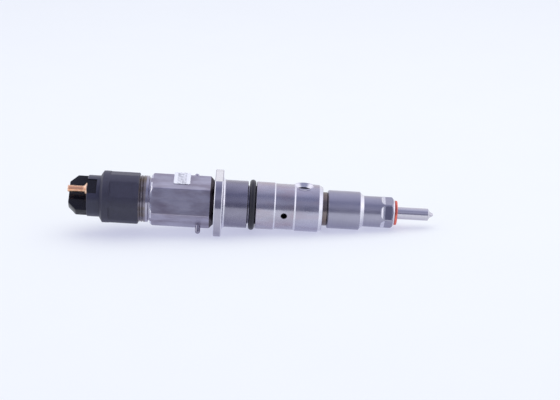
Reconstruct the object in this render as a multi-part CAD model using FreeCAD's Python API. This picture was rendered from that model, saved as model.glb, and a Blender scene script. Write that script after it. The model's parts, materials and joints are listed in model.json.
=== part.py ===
"""Solenoid common-rail diesel fuel injector, built as the separate pieces it comes apart into.

The long axis is X. X = 0 is the face of the copper washer that seals on the cylinder head, the spray
tip points along +X and the solenoid lies along -X. The high-pressure inlet points along +Z.
A clock angle of 0 faces -Y and 90 faces +Z. All sizes are in millimetres.
"""

import FreeCAD
import Part
import math
import os

# ---- clearances --------------------------------------------------------------------------------
GAP = 0.02
SLIP = 0.05
ROOM = 0.1

# ---- outside of the injector body, from the nozzle end to the solenoid end ---------------------
NOZZLE_FACE_X = -30.0
NECK_X = -40.1
INLET_SECTION_X = -42.9
RETURN_SECTION_X = -59.0
BARREL_X = -70.3
GROOVE_X, GROOVE_WIDTH = -80.7, 4.7
COLLAR_X, COLLAR_T, COLLAR_FILLET = -99.7, 4.7, 2.2
HEAD_X = COLLAR_X - COLLAR_T
HEAD_END_X = -140.5
BODY_END_X = -154.0
NOZZLE_THREAD_R = 9.0
NECK_R = 9.6
INLET_SECTION_R = 13.5
RETURN_SECTION_R = 13.0
BARREL_R = 13.5
GROOVE_R = 10.9
COLLAR_R = 19.8
CLAMP_LAND_R, CLAMP_LAND_STEP = 15.4, 0.1
HEAD_ROOT_R, HEAD_R = 12.4, 15.0
CAP_THREAD_R = 13.3
COLLAR_FLAT = 16.5
HEAD_FLAT, HEAD_CLOCK = 13.0, 15.1

# ---- ports of the body -------------------------------------------------------------------------
INLET_X, INLET_CLOCK = -53.8, 90.0
INLET_BOSS_R, INLET_BOSS_TOP = 5.9, 13.2
INLET_MOUTH_R, INLET_HOLE_R, INLET_CONE_HALF_DEG = 5.5, 2.0, 30.0
RETURN_X, RETURN_CLOCK, RETURN_R = -64.6, -6.0, 1.7
FEED_OFFSET, FEED_R = 5.9, 0.9
LEAK_OFFSET, LEAK_R = 9.0, 1.0

# ---- bores of the body -------------------------------------------------------------------------
SPRING_BORE_END_X, SPRING_BORE_R = -56.0, 4.2
PLUNGER_BORE_END_X, PLUNGER_BORE_R = -110.3, 2.6
FEED_RING_X, FEED_RING_END_X, FEED_RING_R = -114.0, -121.0, 6.4
VALVE_SEAT_X, VALVE_STEM_BORE_R = -124.0, 4.6
CLAMP_BORE_X, VALVE_BORE_R = -130.5, 8.6
MAGNET_BORE_X, CLAMP_THREAD_R = -141.0, 9.5
MAGNET_BORE_R = 11.2

# ---- nozzle, its nut and its washer ------------------------------------------------------------
TIP_X = 21.0
SHANK_END_X, SHANK_R = 18.0, 3.5
WASHER_T, WASHER_R, WASHER_LAND_R = 1.5, 7.0, 3.8
NOSE_X, NOSE_R = -WASHER_T, 8.8
NOSE_FLATS_END_X, NOSE_FLAT, NOSE_CLOCK = -7.0, 7.8, 16.4
NOSE_STEP_X = -19.2
SLEEVE_START_X, SLEEVE_END_X, SLEEVE_R = -21.5, -39.8, 10.9
NUT_STEP_X = NOZZLE_FACE_X + 1.2
NOZZLE_SHOULDER_X, NOZZLE_COLLAR_R, NOZZLE_RELIEF_R = -9.5, 7.15, 4.2
NOZZLE_BORE_R = 2.1
GALLERY_X, GALLERY_R = -15.5, 3.1
SEAT_START_X, SEAT_HALF_ANGLE, SAC_R = 15.4, 30.0, 0.5
SPRAY_HOLES, SPRAY_R, SPRAY_DEG = 8, 0.1, 72.5
DOWEL_R, DOWEL_OFFSET, DOWEL_REACH, DOWEL_CLOCKS = 1.0, 5.7, 3.0, (-30.0, 210.0)

# ---- needle, thrust pin, spring and plunger: the needle is on its seat -------------------------
NEEDLE_R, NEEDLE_STEM_R, NEEDLE_TIP_R = 2.0, 1.5, 0.35
NEEDLE_TOP_X, THRUST_SOCKET_R = -31.0, 2.4
THRUST_COLLAR_X, THRUST_TOP_X, THRUST_STEM_R = -33.5, -50.2, 2.0
PRESSURE_SHIM_T = 1.0
PLUNGER_R, PLUNGER_TOP_X, PLUNGER_STEM_X, PLUNGER_STEM_R = 2.15, -120.0, -106.0, 2.0
NOZZLE_COIL_R, NOZZLE_WIRE_R, NOZZLE_TURNS = 3.15, 0.7, 8

# ---- solenoid valve: the ball is on its seat ---------------------------------------------------
PIECE_START_X, PIECE_STEM_R = -112.4, 4.4
VALVE_TOP_X = -131.0
CONTROL_CHAMBER_X = -120.6
BALL_R, BALL_SEAT_HALF_ANGLE, SEAT_MOUTH_R, OUTLET_R = 0.675, 60.0, 0.9, 0.15
CUP_R = 1.5
SHIM_T, SHIM_INNER_R = 0.8, 5.2
GUIDE_FLANGE_T, GUIDE_STEP_X, GUIDE_TOP_X = 2.8, -141.6, -146.4
GUIDE_SEAT_R, GUIDE_NECK_R, GUIDE_MOUTH_R, GUIDE_MOUTH_DEPTH = 5.0, 3.2, 2.4, 2.2
CLAMP_TOP_X, CLAMP_INNER_R = -140.0, 5.3
ARMATURE_PIN_R, ARMATURE_PIN_END_X, PIN_HEAD_R = 1.7, -133.2, 2.4
PLATE_X, PLATE_T, PLATE_R = -146.9, 1.8, 8.3
CRESCENT_T, CRESCENT_NECK_R = 0.5, 1.2
PLATE_COIL_R, PLATE_WIRE_R, PLATE_TURNS = 4.05, 0.35, 4

# ---- magnet ------------------------------------------------------------------------------------
MAGNET_FACE_X, CORE_TOP_X, CORE_R = -149.0, -163.5, 9.0
COIL_TOP_X, COIL_IN_R, COIL_OUT_R, COIL_LAYERS = -157.5, 4.4, 7.9, 9
BOBBIN_WALL = 0.7
SPRING_HOLE_R, SPRING_SEAT_X, SPRING_SHIM_X, SPRING_SHIM_T = 2.6, -149.6, -160.7, 0.8
VALVE_COIL_R, VALVE_WIRE_R, VALVE_TURNS = 1.75, 0.35, 7
HOUSING_TOP_X, HOUSING_R = -166.0, 10.6
FLANGE_X = BODY_END_X - 0.4
MAGNET_GROOVE_X, MAGNET_GROOVE_WIDTH, MAGNET_GROOVE_R = -150.6, 1.9, 9.75
LEAD_R = 0.5

# ---- solenoid nut, connector cap and terminals -------------------------------------------------
CAP_NUT_X, CAP_NUT_END_X, CAP_NUT_R = -147.2, -169.1, 14.8
CAP_NUT_FLATS_END_X, CAP_NUT_FLAT, CAP_NUT_CLOCK = -163.9, 14.0, 37.4
CAP_NUT_SHOULDER_X = -158.2
CAP_END_X, CAP_R, CAP_CLOCK = -176.5, 11.8, 49.0
WALL_END_X, WALL_HALF_WIDTH, WALL_HALF_T, WALL_CORNER = -187.0, 11.3, 3.0, 4.5
POCKET_WIDTH, POCKET_DEPTH = 9.4, 0.8
NOTCH_LENGTH, NOTCH_DEPTH = 5.4, 1.6
STUD_END_X, STUD_ROOT_X, STUD_OFFSET = -187.6, -171.5, 6.9
STUD_R, STUD_ROOT_R, STUD_FOOT_R = 2.0, 1.5, 3.55

# ---- pins, tag and O-rings ---------------------------------------------------------------------
PIN_R = 1.5
LONG_PIN = {"x": -113.0, "clock": -66.0, "root": 10.3, "end": 18.4}
REAR_PIN = {"x": -115.0, "clock": 119.0, "root": 10.3, "end": 16.2}
TAG_X, TAG_LENGTH, TAG_WIDTH, TAG_T, TAG_SHIFT = -118.5, 9.3, 11.5, 0.3, 3.15
BARREL_SEAL_R = 1.74

AXIS = FreeCAD.Vector(1, 0, 0)
ORIGIN = FreeCAD.Vector(0, 0, 0)


# ---- helpers -----------------------------------------------------------------------------------
def place(x, radius=0.0, clock=0.0, side=0.0):
    """Point at station x, at a radius along a clock angle, and moved sideways round the axis."""
    a = math.radians(clock)
    y = -radius * math.cos(a) + side * math.sin(a)
    z = radius * math.sin(a) + side * math.cos(a)
    return FreeCAD.Vector(x, y, z)


def outward(clock):
    """Unit vector that points away from the axis at a clock angle."""
    return place(0, 1, clock)


def turned(profile):
    """Solid of revolution about the X axis, from (x, radius) points."""
    points = [FreeCAD.Vector(x, 0, r) for x, r in profile]
    for x, r in (profile[-1], profile[0]):
        if r > 0:
            points.append(FreeCAD.Vector(x, 0, 0))
    face = Part.Face(Part.makePolygon(points + [points[0]]))
    return face.revolve(ORIGIN, AXIS, 360)


def rod(x0, x1, radius, offset=0.0, clock=0.0):
    """Cylinder along the X axis, or beside it at an offset."""
    start = place(min(x0, x1), offset, clock)
    return Part.makeCylinder(radius, abs(x1 - x0), start, AXIS)


def ring(x0, x1, outer, inner):
    return rod(x0, x1, outer).cut(rod(x0, x1, inner))


def spoke(x, clock, r0, r1, radius):
    """Cylinder that runs outward from radius r0 to r1."""
    return Part.makeCylinder(radius, r1 - r0, place(x, r0, clock), outward(clock))


def prism(outline, clock, half_width):
    """Outline of (x, height) points facing a clock angle, extruded to both sides by half_width."""
    points = [place(x, h, clock, -half_width) for x, h in outline]
    face = Part.Face(Part.makePolygon(points + [points[0]]))
    return face.extrude(place(0, 0, clock, 2 * half_width))


def slab(x0, x1, clock, low, high, half_width):
    """Box between two heights above the axis, facing a clock angle."""
    near, far = min(x0, x1), max(x0, x1)
    return prism([(near, low), (far, low), (far, high), (near, high)], clock, half_width)


def hexagon(x0, x1, flat, clock):
    """Hexagonal bar along X with one face at a clock angle."""
    corner = flat / math.cos(math.radians(30))
    points = [place(min(x0, x1), corner, clock + 30 + 60 * k) for k in range(6)]
    face = Part.Face(Part.makePolygon(points + [points[0]]))
    return face.extrude(FreeCAD.Vector(abs(x1 - x0), 0, 0))


def thread_points(x0, x1, crest, depth, pitch):
    """Zigzag (x, radius) points of a screw thread drawn as closed rings, from x0 down to x1."""
    turns = int((x0 - x1) / pitch)
    points = []
    for k in range(turns):
        x = x0 - k * pitch
        points += [(x, crest), (x - 0.15 * pitch, crest)]
        points += [(x - 0.5 * pitch, crest - depth), (x - 0.65 * pitch, crest - depth)]
    return points + [(x0 - turns * pitch, crest), (x1, crest)]


def coil_spring(x0, x1, coil_radius, wire_radius, turns):
    """Round-wire compression spring between two flat seats, with a ground ring at each end."""
    length = abs(x1 - x0)
    helix = Part.makeHelix(length / turns, length, coil_radius)
    section = Part.Wire(Part.makeCircle(wire_radius, FreeCAD.Vector(coil_radius, 0, 0),
                                        FreeCAD.Vector(0, 1, 0)))
    coil = Part.Wire(helix).makePipeShell([section], True, True)
    end_t, half_end_width = 0.8 * wire_radius, 0.85 * wire_radius
    ends = []
    for z in (0.0, length - end_t):
        base = FreeCAD.Vector(0, 0, z)
        outer = Part.makeCylinder(coil_radius + half_end_width, end_t, base)
        ends.append(outer.cut(Part.makeCylinder(coil_radius - half_end_width, end_t, base)))
    spring = coil.common(Part.makeCylinder(2 * coil_radius, length)).fuse(ends)
    spring.rotate(ORIGIN, FreeCAD.Vector(0, 1, 0), 90)
    spring.translate(FreeCAD.Vector(min(x0, x1), 0, 0))
    return spring


def o_ring(x, inner_radius, section_radius):
    centre = FreeCAD.Vector(x, 0, 0)
    return Part.makeTorus(inner_radius + section_radius, section_radius, centre, AXIS)


def save(name, *shapes):
    """Write one node. Every shape in it is one or more closed solids."""
    solids = [solid for shape in shapes for solid in shape.Solids]
    whole = solids[0] if len(solids) == 1 else Part.makeCompound(solids)
    if not whole.isValid() or any(solid.Volume <= 0 for solid in solids):
        print("check this node:", name)
    whole.exportStep(os.path.join("parts", name + ".step"))


# ---- injector body and the nuts that screw onto it ---------------------------------------------
def collar_fillet():
    """Points (x, radius) of the hollow fillet between the barrel and the collar."""
    points = []
    for k in range(7):
        a = math.radians(15 * k)
        points.append((COLLAR_X + COLLAR_FILLET * (1 - math.sin(a)),
                       BARREL_R + COLLAR_FILLET * (1 - math.cos(a))))
    return points


def make_barrel():
    groove_end_x = GROOVE_X - GROOVE_WIDTH
    lower_thread = thread_points(NOZZLE_FACE_X - 0.4, NECK_X + 0.9, NOZZLE_THREAD_R, 0.5, 1.0)
    return turned([
        (NOZZLE_FACE_X, NOZZLE_THREAD_R - 0.4), *lower_thread,
        (NECK_X, NOZZLE_THREAD_R), (NECK_X, NECK_R), (INLET_SECTION_X, NECK_R),
        (INLET_SECTION_X, INLET_SECTION_R - 1.1), (INLET_SECTION_X - 2.2, INLET_SECTION_R),
        (RETURN_SECTION_X + 0.8, INLET_SECTION_R), (RETURN_SECTION_X, RETURN_SECTION_R),
        (BARREL_X + 0.6, RETURN_SECTION_R), (BARREL_X, BARREL_R),
        (GROOVE_X + 0.3, BARREL_R), (GROOVE_X, BARREL_R - 0.3), (GROOVE_X, GROOVE_R),
        (groove_end_x, GROOVE_R), (groove_end_x, BARREL_R - 0.3),
        (groove_end_x - 0.3, BARREL_R), *collar_fillet(), (COLLAR_X - 1.0, BARREL_R)])


def make_collar():
    """Collar with two flats, and a raised land at its back for the hold-down clamp."""
    collar = turned([
        (COLLAR_X, COLLAR_R - 0.5), (COLLAR_X - 0.5, COLLAR_R),
        (HEAD_X + 0.5, COLLAR_R), (HEAD_X, COLLAR_R - 0.5), (HEAD_X, CLAMP_LAND_R),
        (HEAD_X + CLAMP_LAND_STEP, CLAMP_LAND_R)])
    flats = [slab(HEAD_X, COLLAR_X, clock, COLLAR_FLAT, COLLAR_R + 1, COLLAR_R)
             for clock in (INLET_CLOCK, INLET_CLOCK + 180)]
    return collar.cut(flats)


def make_head():
    head = turned([
        (HEAD_X + 1.0, HEAD_ROOT_R), (HEAD_X, HEAD_ROOT_R), (HEAD_X - 2.6, HEAD_R),
        (HEAD_END_X + 1.5, HEAD_R), (HEAD_END_X, HEAD_R - 1.3)])
    head = head.common(hexagon(HEAD_X + 1.0, HEAD_END_X, HEAD_FLAT, HEAD_CLOCK))
    upper_thread = thread_points(HEAD_END_X - 0.9, BODY_END_X + 0.6, CAP_THREAD_R, 0.6, 1.5)
    neck = turned([
        (HEAD_END_X + 1.0, CAP_THREAD_R - 1.0), (HEAD_END_X, CAP_THREAD_R - 1.0),
        *upper_thread, (BODY_END_X, CAP_THREAD_R - 0.6)])
    return head.fuse(neck)


def body_passages():
    bores = turned([
        (NOZZLE_FACE_X, SPRING_BORE_R), (SPRING_BORE_END_X, SPRING_BORE_R),
        (SPRING_BORE_END_X, PLUNGER_BORE_R), (PLUNGER_BORE_END_X, PLUNGER_BORE_R),
        (PLUNGER_BORE_END_X, VALVE_STEM_BORE_R), (FEED_RING_X, VALVE_STEM_BORE_R),
        (FEED_RING_X, FEED_RING_R), (FEED_RING_END_X, FEED_RING_R),
        (FEED_RING_END_X, VALVE_STEM_BORE_R), (VALVE_SEAT_X, VALVE_STEM_BORE_R),
        (VALVE_SEAT_X, VALVE_BORE_R), (CLAMP_BORE_X, VALVE_BORE_R),
        (CLAMP_BORE_X, CLAMP_THREAD_R), (MAGNET_BORE_X, CLAMP_THREAD_R),
        (MAGNET_BORE_X, MAGNET_BORE_R), (BODY_END_X, MAGNET_BORE_R)])
    feed = rod(NOZZLE_FACE_X, FEED_RING_END_X + 1, FEED_R, FEED_OFFSET, INLET_CLOCK)
    leak = rod(RETURN_X, MAGNET_BORE_X - 0.5, LEAK_R, LEAK_OFFSET, RETURN_CLOCK)
    leak_port = spoke(RETURN_X, RETURN_CLOCK, LEAK_OFFSET - 0.5, COLLAR_R, RETURN_R)
    cone_depth = (INLET_MOUTH_R - INLET_HOLE_R) / math.tan(math.radians(INLET_CONE_HALF_DEG))
    cone_floor = INLET_BOSS_TOP - cone_depth
    inlet_cone = Part.makeCone(INLET_HOLE_R, INLET_MOUTH_R, cone_depth,
                               place(INLET_X, cone_floor, INLET_CLOCK), outward(INLET_CLOCK))
    inlet_hole = spoke(INLET_X, INLET_CLOCK, FEED_OFFSET - 0.6, cone_floor + 0.1, INLET_HOLE_R)
    return [bores, feed, leak, leak_port, inlet_cone, inlet_hole]


def make_body():
    boss = spoke(INLET_X, INLET_CLOCK, SPRING_BORE_R, INLET_BOSS_TOP, INLET_BOSS_R)
    body = make_barrel().fuse([make_collar(), make_head(), boss]).removeSplitter()
    pin_holes = [spoke(pin["x"], pin["clock"], pin["root"], HEAD_R + 2, PIN_R)
                 for pin in (LONG_PIN, REAR_PIN)]
    save("injector_body", body.cut(body_passages()).cut(pin_holes).cut(dowels(DOWEL_R)))


def nose_flat_cutter(clock):
    """Removes one wrench flat from the nose of the nozzle nut, with a sloping run-out."""
    run_out_x = NOSE_FLATS_END_X - 2.0
    return prism([
        (1.0, NOSE_FLAT), (NOSE_FLATS_END_X, NOSE_FLAT), (run_out_x, NOSE_FLAT + 1.6),
        (run_out_x, 12.0), (1.0, 12.0)], clock, NOSE_FLAT)


def make_nozzle_nut():
    outside = turned([
        (NOSE_X, NOSE_R - 1.7), (NOSE_X - 1.7, NOSE_R), (NOSE_STEP_X, NOSE_R),
        (SLEEVE_START_X + 0.15, SLEEVE_R - 0.35), (SLEEVE_START_X - 0.2, SLEEVE_R),
        (SLEEVE_END_X + 0.5, SLEEVE_R), (SLEEVE_END_X, SLEEVE_R - 0.5)])
    nose_bore_r = NOZZLE_RELIEF_R + 0.3
    inside = turned([
        (NOSE_X, nose_bore_r), (NOZZLE_SHOULDER_X, nose_bore_r),
        (NOZZLE_SHOULDER_X, NOZZLE_COLLAR_R + ROOM), (NUT_STEP_X, NOZZLE_COLLAR_R + ROOM),
        (NUT_STEP_X, NOZZLE_THREAD_R + SLIP), (SLEEVE_END_X, NOZZLE_THREAD_R + SLIP)])
    flats = [nose_flat_cutter(NOSE_CLOCK + 60 * k) for k in range(6)]
    save("nozzle_retaining_nut", outside.cut([inside, *flats]))


def make_solenoid_nut():
    outside = turned([
        (CAP_NUT_X, CAP_NUT_R - 0.5), (CAP_NUT_X - 0.5, CAP_NUT_R),
        (CAP_NUT_END_X + 1.5, CAP_NUT_R), (CAP_NUT_END_X, CAP_NUT_R - 2.3)])
    flats = [slab(CAP_NUT_X, CAP_NUT_FLATS_END_X, CAP_NUT_CLOCK + 60 * k, CAP_NUT_FLAT,
                  CAP_NUT_R + 1, CAP_NUT_R) for k in range(6)]
    inside = turned([
        (CAP_NUT_X, CAP_THREAD_R + SLIP), (CAP_NUT_SHOULDER_X, CAP_THREAD_R + SLIP),
        (CAP_NUT_SHOULDER_X, CAP_R + ROOM), (CAP_NUT_END_X, CAP_R + ROOM)])
    save("solenoid_nut", outside.cut([inside, *flats]))


# ---- pins, seals and tag on the outside --------------------------------------------------------
def make_pins():
    for name, pin in (("locating_pin", LONG_PIN), ("rear_pin", REAR_PIN)):
        dome_r = pin["end"] - PIN_R
        shank = spoke(pin["x"], pin["clock"], pin["root"], dome_r, PIN_R)
        dome = Part.makeSphere(PIN_R, place(pin["x"], dome_r, pin["clock"]))
        save(name, shank.fuse(dome).removeSplitter())


def make_outside_seals():
    washer = turned([
        (0.0, WASHER_R - 0.3), (-0.3, WASHER_R), (NOSE_X + 0.3, WASHER_R),
        (NOSE_X, WASHER_R - 0.3)])
    save("combustion_washer", washer.cut(rod(NOSE_X, 0.0, WASHER_LAND_R)))
    seal_x = GROOVE_X - 0.45 * GROOVE_WIDTH
    save("barrel_o_ring", o_ring(seal_x, GROOVE_R + GAP / 2, BARREL_SEAL_R))


def make_tag():
    """Stiff blank identification tag on the upper face of the hexagon, reaching past its corner."""
    clock = HEAD_CLOCK + 60
    tag = slab(TAG_X - TAG_LENGTH, TAG_X, clock, HEAD_FLAT, HEAD_FLAT + TAG_T, TAG_WIDTH / 2)
    tag.translate(place(0, 0, clock, -TAG_SHIFT) * -1)
    save("id_tag", tag)


# ---- nozzle, needle and the parts that close it ------------------------------------------------
def dowels(radius):
    """Two dowels that locate the nozzle on the body."""
    return [rod(NOZZLE_FACE_X - DOWEL_REACH, NOZZLE_FACE_X + DOWEL_REACH, radius, DOWEL_OFFSET,
                clock) for clock in DOWEL_CLOCKS]


def make_nozzle():
    seat_slope = math.tan(math.radians(SEAT_HALF_ANGLE))
    sac_x = SEAT_START_X + (NOZZLE_BORE_R - SAC_R) / seat_slope
    outside = turned([
        (NOZZLE_FACE_X, NOZZLE_COLLAR_R), (NOZZLE_SHOULDER_X - 1.0, NOZZLE_COLLAR_R),
        (NOZZLE_SHOULDER_X, NOZZLE_COLLAR_R - 1.0), (NOZZLE_SHOULDER_X, NOZZLE_RELIEF_R),
        (NOZZLE_SHOULDER_X + 1.0, WASHER_LAND_R), (0.0, WASHER_LAND_R), (0.0, SHANK_R),
        (SHANK_END_X - 0.2, SHANK_R), (SHANK_END_X, SHANK_R - 0.2), (SHANK_END_X + 0.95, 1.8),
        (SHANK_END_X + 1.2, 1.55), (TIP_X - 0.75, 1.05), (TIP_X - 0.35, 0.85),
        (TIP_X - 0.1, 0.5), (TIP_X, 0.0)])
    inside = turned([
        (NOZZLE_FACE_X, NEEDLE_R + GAP), (GALLERY_X - 1.5, NEEDLE_R + GAP),
        (GALLERY_X, GALLERY_R), (GALLERY_X + 1.5, NOZZLE_BORE_R),
        (SEAT_START_X, NOZZLE_BORE_R), (sac_x, SAC_R), (sac_x + 1.0, SAC_R),
        (sac_x + 1.35, 0.7 * SAC_R), (sac_x + 1.5, 0.0)])
    feed_start = place(NOZZLE_FACE_X, FEED_OFFSET - 0.3, INLET_CLOCK)
    feed_run = place(GALLERY_X, GALLERY_R - 0.6, INLET_CLOCK) - feed_start
    feed = Part.makeCylinder(0.75, feed_run.Length, feed_start, feed_run)
    tilt = math.radians(SPRAY_DEG)
    sprays = []
    for k in range(SPRAY_HOLES):
        aim = outward(360 / SPRAY_HOLES * k) * math.sin(tilt) + AXIS * math.cos(tilt)
        sprays.append(Part.makeCylinder(SPRAY_R, 3.0, place(sac_x + 0.8), aim))
    save("nozzle_body", outside.cut([inside, feed, *sprays, *dowels(DOWEL_R)]))
    save("nozzle_dowels", *dowels(DOWEL_R - GAP))


def make_needle():
    """Needle that rests GAP clear of the seat cone."""
    seat_slope = math.tan(math.radians(SEAT_HALF_ANGLE))
    cone_x = SEAT_START_X - GAP / math.sin(math.radians(SEAT_HALF_ANGLE))
    stem_end_x = cone_x + (NOZZLE_BORE_R - NEEDLE_STEM_R) / seat_slope
    tip_x = cone_x + (NOZZLE_BORE_R - NEEDLE_TIP_R) / seat_slope
    needle = turned([
        (NEEDLE_TOP_X, NEEDLE_STEM_R), (NOZZLE_FACE_X - 0.2, NEEDLE_STEM_R),
        (NOZZLE_FACE_X + 0.2, NEEDLE_R), (GALLERY_X - 1.2, NEEDLE_R),
        (GALLERY_X - 0.4, NEEDLE_STEM_R), (stem_end_x, NEEDLE_STEM_R),
        (tip_x, NEEDLE_TIP_R), (tip_x + 0.15, 0.0)])
    save("nozzle_needle", needle)


def make_closing_parts():
    collar_r = SPRING_BORE_R - 0.3
    pin = turned([
        (NEEDLE_TOP_X - GAP / 2, THRUST_SOCKET_R), (NEEDLE_TOP_X - 0.6, THRUST_SOCKET_R),
        (NEEDLE_TOP_X - 0.6, collar_r),
        (THRUST_COLLAR_X, collar_r), (THRUST_COLLAR_X, THRUST_STEM_R + 0.2),
        (THRUST_COLLAR_X - 1.0, THRUST_STEM_R), (THRUST_TOP_X, THRUST_STEM_R)])
    save("thrust_pin", pin)
    shim_x = SPRING_BORE_END_X + PRESSURE_SHIM_T
    save("opening_pressure_shim", ring(shim_x, SPRING_BORE_END_X, SPRING_BORE_R - ROOM, 2.5))
    spring = coil_spring(shim_x, THRUST_COLLAR_X, NOZZLE_COIL_R, NOZZLE_WIRE_R, NOZZLE_TURNS)
    save("nozzle_spring", spring)
    plunger = turned([
        (THRUST_TOP_X - GAP / 2, PLUNGER_STEM_R - 0.3), (THRUST_TOP_X - 0.3, PLUNGER_STEM_R),
        (PLUNGER_STEM_X, PLUNGER_STEM_R), (PLUNGER_STEM_X - 1.0, PLUNGER_R), (PLUNGER_TOP_X + 0.3, PLUNGER_R), (PLUNGER_TOP_X, PLUNGER_R - 0.5)])
    grooves = [ring(x - 0.3, x, PLUNGER_R + 1, PLUNGER_R - 0.15)
               for x in (PLUNGER_TOP_X + 5, PLUNGER_TOP_X + 7, PLUNGER_TOP_X + 9)]
    save("command_plunger", plunger.cut(grooves))


# ---- solenoid valve ----------------------------------------------------------------------------
def make_valve_piece():
    seat_slope = math.tan(math.radians(BALL_SEAT_HALF_ANGLE))
    seat_floor_x = VALVE_TOP_X + (SEAT_MOUTH_R - OUTLET_R) / seat_slope
    piece = turned([
        (PIECE_START_X, PIECE_STEM_R), (VALVE_SEAT_X, PIECE_STEM_R),
        (VALVE_SEAT_X, VALVE_BORE_R - ROOM), (VALVE_TOP_X, VALVE_BORE_R - ROOM)])
    inside = turned([
        (PIECE_START_X, PLUNGER_R + GAP), (CONTROL_CHAMBER_X, PLUNGER_R + GAP),
        (CONTROL_CHAMBER_X, 0.4), (seat_floor_x + 0.8, 0.4), (seat_floor_x + 0.8, OUTLET_R),
        (seat_floor_x, OUTLET_R), (VALVE_TOP_X, SEAT_MOUTH_R)])
    throttle = spoke(PLUNGER_TOP_X - 0.3, INLET_CLOCK, 1.0, PIECE_STEM_R + 1, OUTLET_R)
    save("valve_piece", piece.cut([inside, throttle]))
    seal = ring(PLUNGER_BORE_END_X - ROOM, PIECE_START_X + SLIP, VALVE_STEM_BORE_R - GAP,
                PLUNGER_R + 0.3)
    save("valve_piece_seal", seal)


def make_ball_and_cup():
    """Ball GAP / 2 clear of its seat cone, and the cup that holds it down."""
    half_angle = math.radians(BALL_SEAT_HALF_ANGLE)
    cone_tip_x = VALVE_TOP_X + SEAT_MOUTH_R / math.tan(half_angle)
    ball_x = cone_tip_x - (BALL_R + GAP / 2) / math.sin(half_angle)
    save("valve_ball", Part.makeSphere(BALL_R, place(ball_x)))
    cup = turned([(ball_x - 0.1, 1.0), (ball_x - 0.6, CUP_R), (ARMATURE_PIN_END_X, CUP_R)])
    save("ball_cup", cup.cut(Part.makeSphere(BALL_R + GAP / 2, place(ball_x))))


def make_valve_guide_parts():
    flange_x = VALVE_TOP_X - SHIM_T
    clamp_x = flange_x - GUIDE_FLANGE_T
    save("stroke_shim", ring(VALVE_TOP_X, flange_x, VALVE_BORE_R - ROOM, SHIM_INNER_R))
    guide = turned([
        (flange_x, VALVE_BORE_R - ROOM), (clamp_x, VALVE_BORE_R - ROOM), (clamp_x, GUIDE_SEAT_R),
        (GUIDE_STEP_X, GUIDE_SEAT_R), (GUIDE_STEP_X, GUIDE_NECK_R), (GUIDE_TOP_X, GUIDE_NECK_R)])
    inside = turned([
        (flange_x, GUIDE_MOUTH_R), (flange_x - GUIDE_MOUTH_DEPTH, GUIDE_MOUTH_R),
        (flange_x - GUIDE_MOUTH_DEPTH, ARMATURE_PIN_R + GAP),
        (GUIDE_TOP_X, ARMATURE_PIN_R + GAP)])
    ports = [rod(flange_x, clamp_x, 0.6, 6.4, 45 + 90 * k) for k in range(4)]
    save("armature_guide", guide.cut([inside, *ports]))
    clamp = ring(clamp_x, CLAMP_TOP_X, CLAMP_THREAD_R - SLIP, CLAMP_INNER_R)
    slots = [slab(CLAMP_TOP_X, CLAMP_TOP_X + 1.8, 90 * k, 5.0, 10.0, 1.2) for k in range(4)]
    save("valve_clamp_screw", clamp.cut(slots))


def make_armature():
    """Plate that slides on its pin, held up against a crescent washer by a small spring."""
    plate_top_x = PLATE_X - PLATE_T
    washer_top_x = plate_top_x - CRESCENT_T
    pin = turned([
        (ARMATURE_PIN_END_X - GAP / 2, ARMATURE_PIN_R - 0.3),
        (ARMATURE_PIN_END_X - 0.4, ARMATURE_PIN_R), (plate_top_x, ARMATURE_PIN_R),
        (plate_top_x, CRESCENT_NECK_R), (washer_top_x, CRESCENT_NECK_R),
        (washer_top_x, PIN_HEAD_R), (SPRING_SEAT_X, PIN_HEAD_R), (SPRING_SEAT_X, 1.0),
        (SPRING_SEAT_X - 2.2, 0.8)])
    save("armature_pin", pin)
    slot_r = CRESCENT_NECK_R + GAP
    washer = ring(plate_top_x - GAP / 4, washer_top_x + GAP / 4, PIN_HEAD_R + SLIP, slot_r)
    mouth = slab(plate_top_x, washer_top_x, RETURN_CLOCK, 0.0, PIN_HEAD_R + 1, slot_r)
    save("crescent_washer", washer.cut(mouth))
    plate = turned([
        (PLATE_X, PLATE_R - 0.3), (PLATE_X - 0.3, PLATE_R), (plate_top_x, PLATE_R)])
    holes = [rod(PLATE_X, plate_top_x, 1.1, 6.4, 60 * k) for k in range(6)]
    save("armature_plate", plate.cut([rod(PLATE_X, plate_top_x, ARMATURE_PIN_R + GAP), *holes]))
    spring = coil_spring(GUIDE_STEP_X, PLATE_X, PLATE_COIL_R, PLATE_WIRE_R, PLATE_TURNS)
    save("armature_spring", spring)


# ---- magnet and its housing --------------------------------------------------------------------
def make_magnet():
    lead_holes = [rod(COIL_TOP_X, CORE_TOP_X, LEAD_R + 0.3, STUD_OFFSET, CAP_CLOCK + turn)
                  for turn in (0, 180)]
    core = rod(MAGNET_FACE_X, CORE_TOP_X, CORE_R)
    core = core.cut([ring(MAGNET_FACE_X, COIL_TOP_X, COIL_OUT_R, COIL_IN_R),
                     rod(MAGNET_FACE_X, SPRING_SHIM_X - SPRING_SHIM_T, SPRING_HOLE_R),
                     *lead_holes])
    save("magnet_core", core)
    low_x = MAGNET_FACE_X - 0.3
    bobbin = ring(low_x, COIL_TOP_X, COIL_OUT_R - SLIP, COIL_IN_R + SLIP)
    window = ring(low_x - BOBBIN_WALL, COIL_TOP_X + BOBBIN_WALL, COIL_OUT_R, COIL_IN_R + 0.6)
    save("coil_bobbin", bobbin.cut(window))
    start_x = low_x - BOBBIN_WALL - SLIP
    pitch = (start_x - (COIL_TOP_X + BOBBIN_WALL + SLIP)) / COIL_LAYERS
    groove_r, crest_r = COIL_OUT_R - 0.5, COIL_OUT_R - 0.25
    profile = [(start_x, groove_r)]
    for k in range(COIL_LAYERS):
        x = start_x - k * pitch
        profile += [(x - 0.2 * pitch, crest_r), (x - 0.8 * pitch, crest_r), (x - pitch, groove_r)]
    winding = turned(profile).cut(rod(low_x, COIL_TOP_X, COIL_IN_R + 0.65))
    save("coil_winding", winding)


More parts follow.
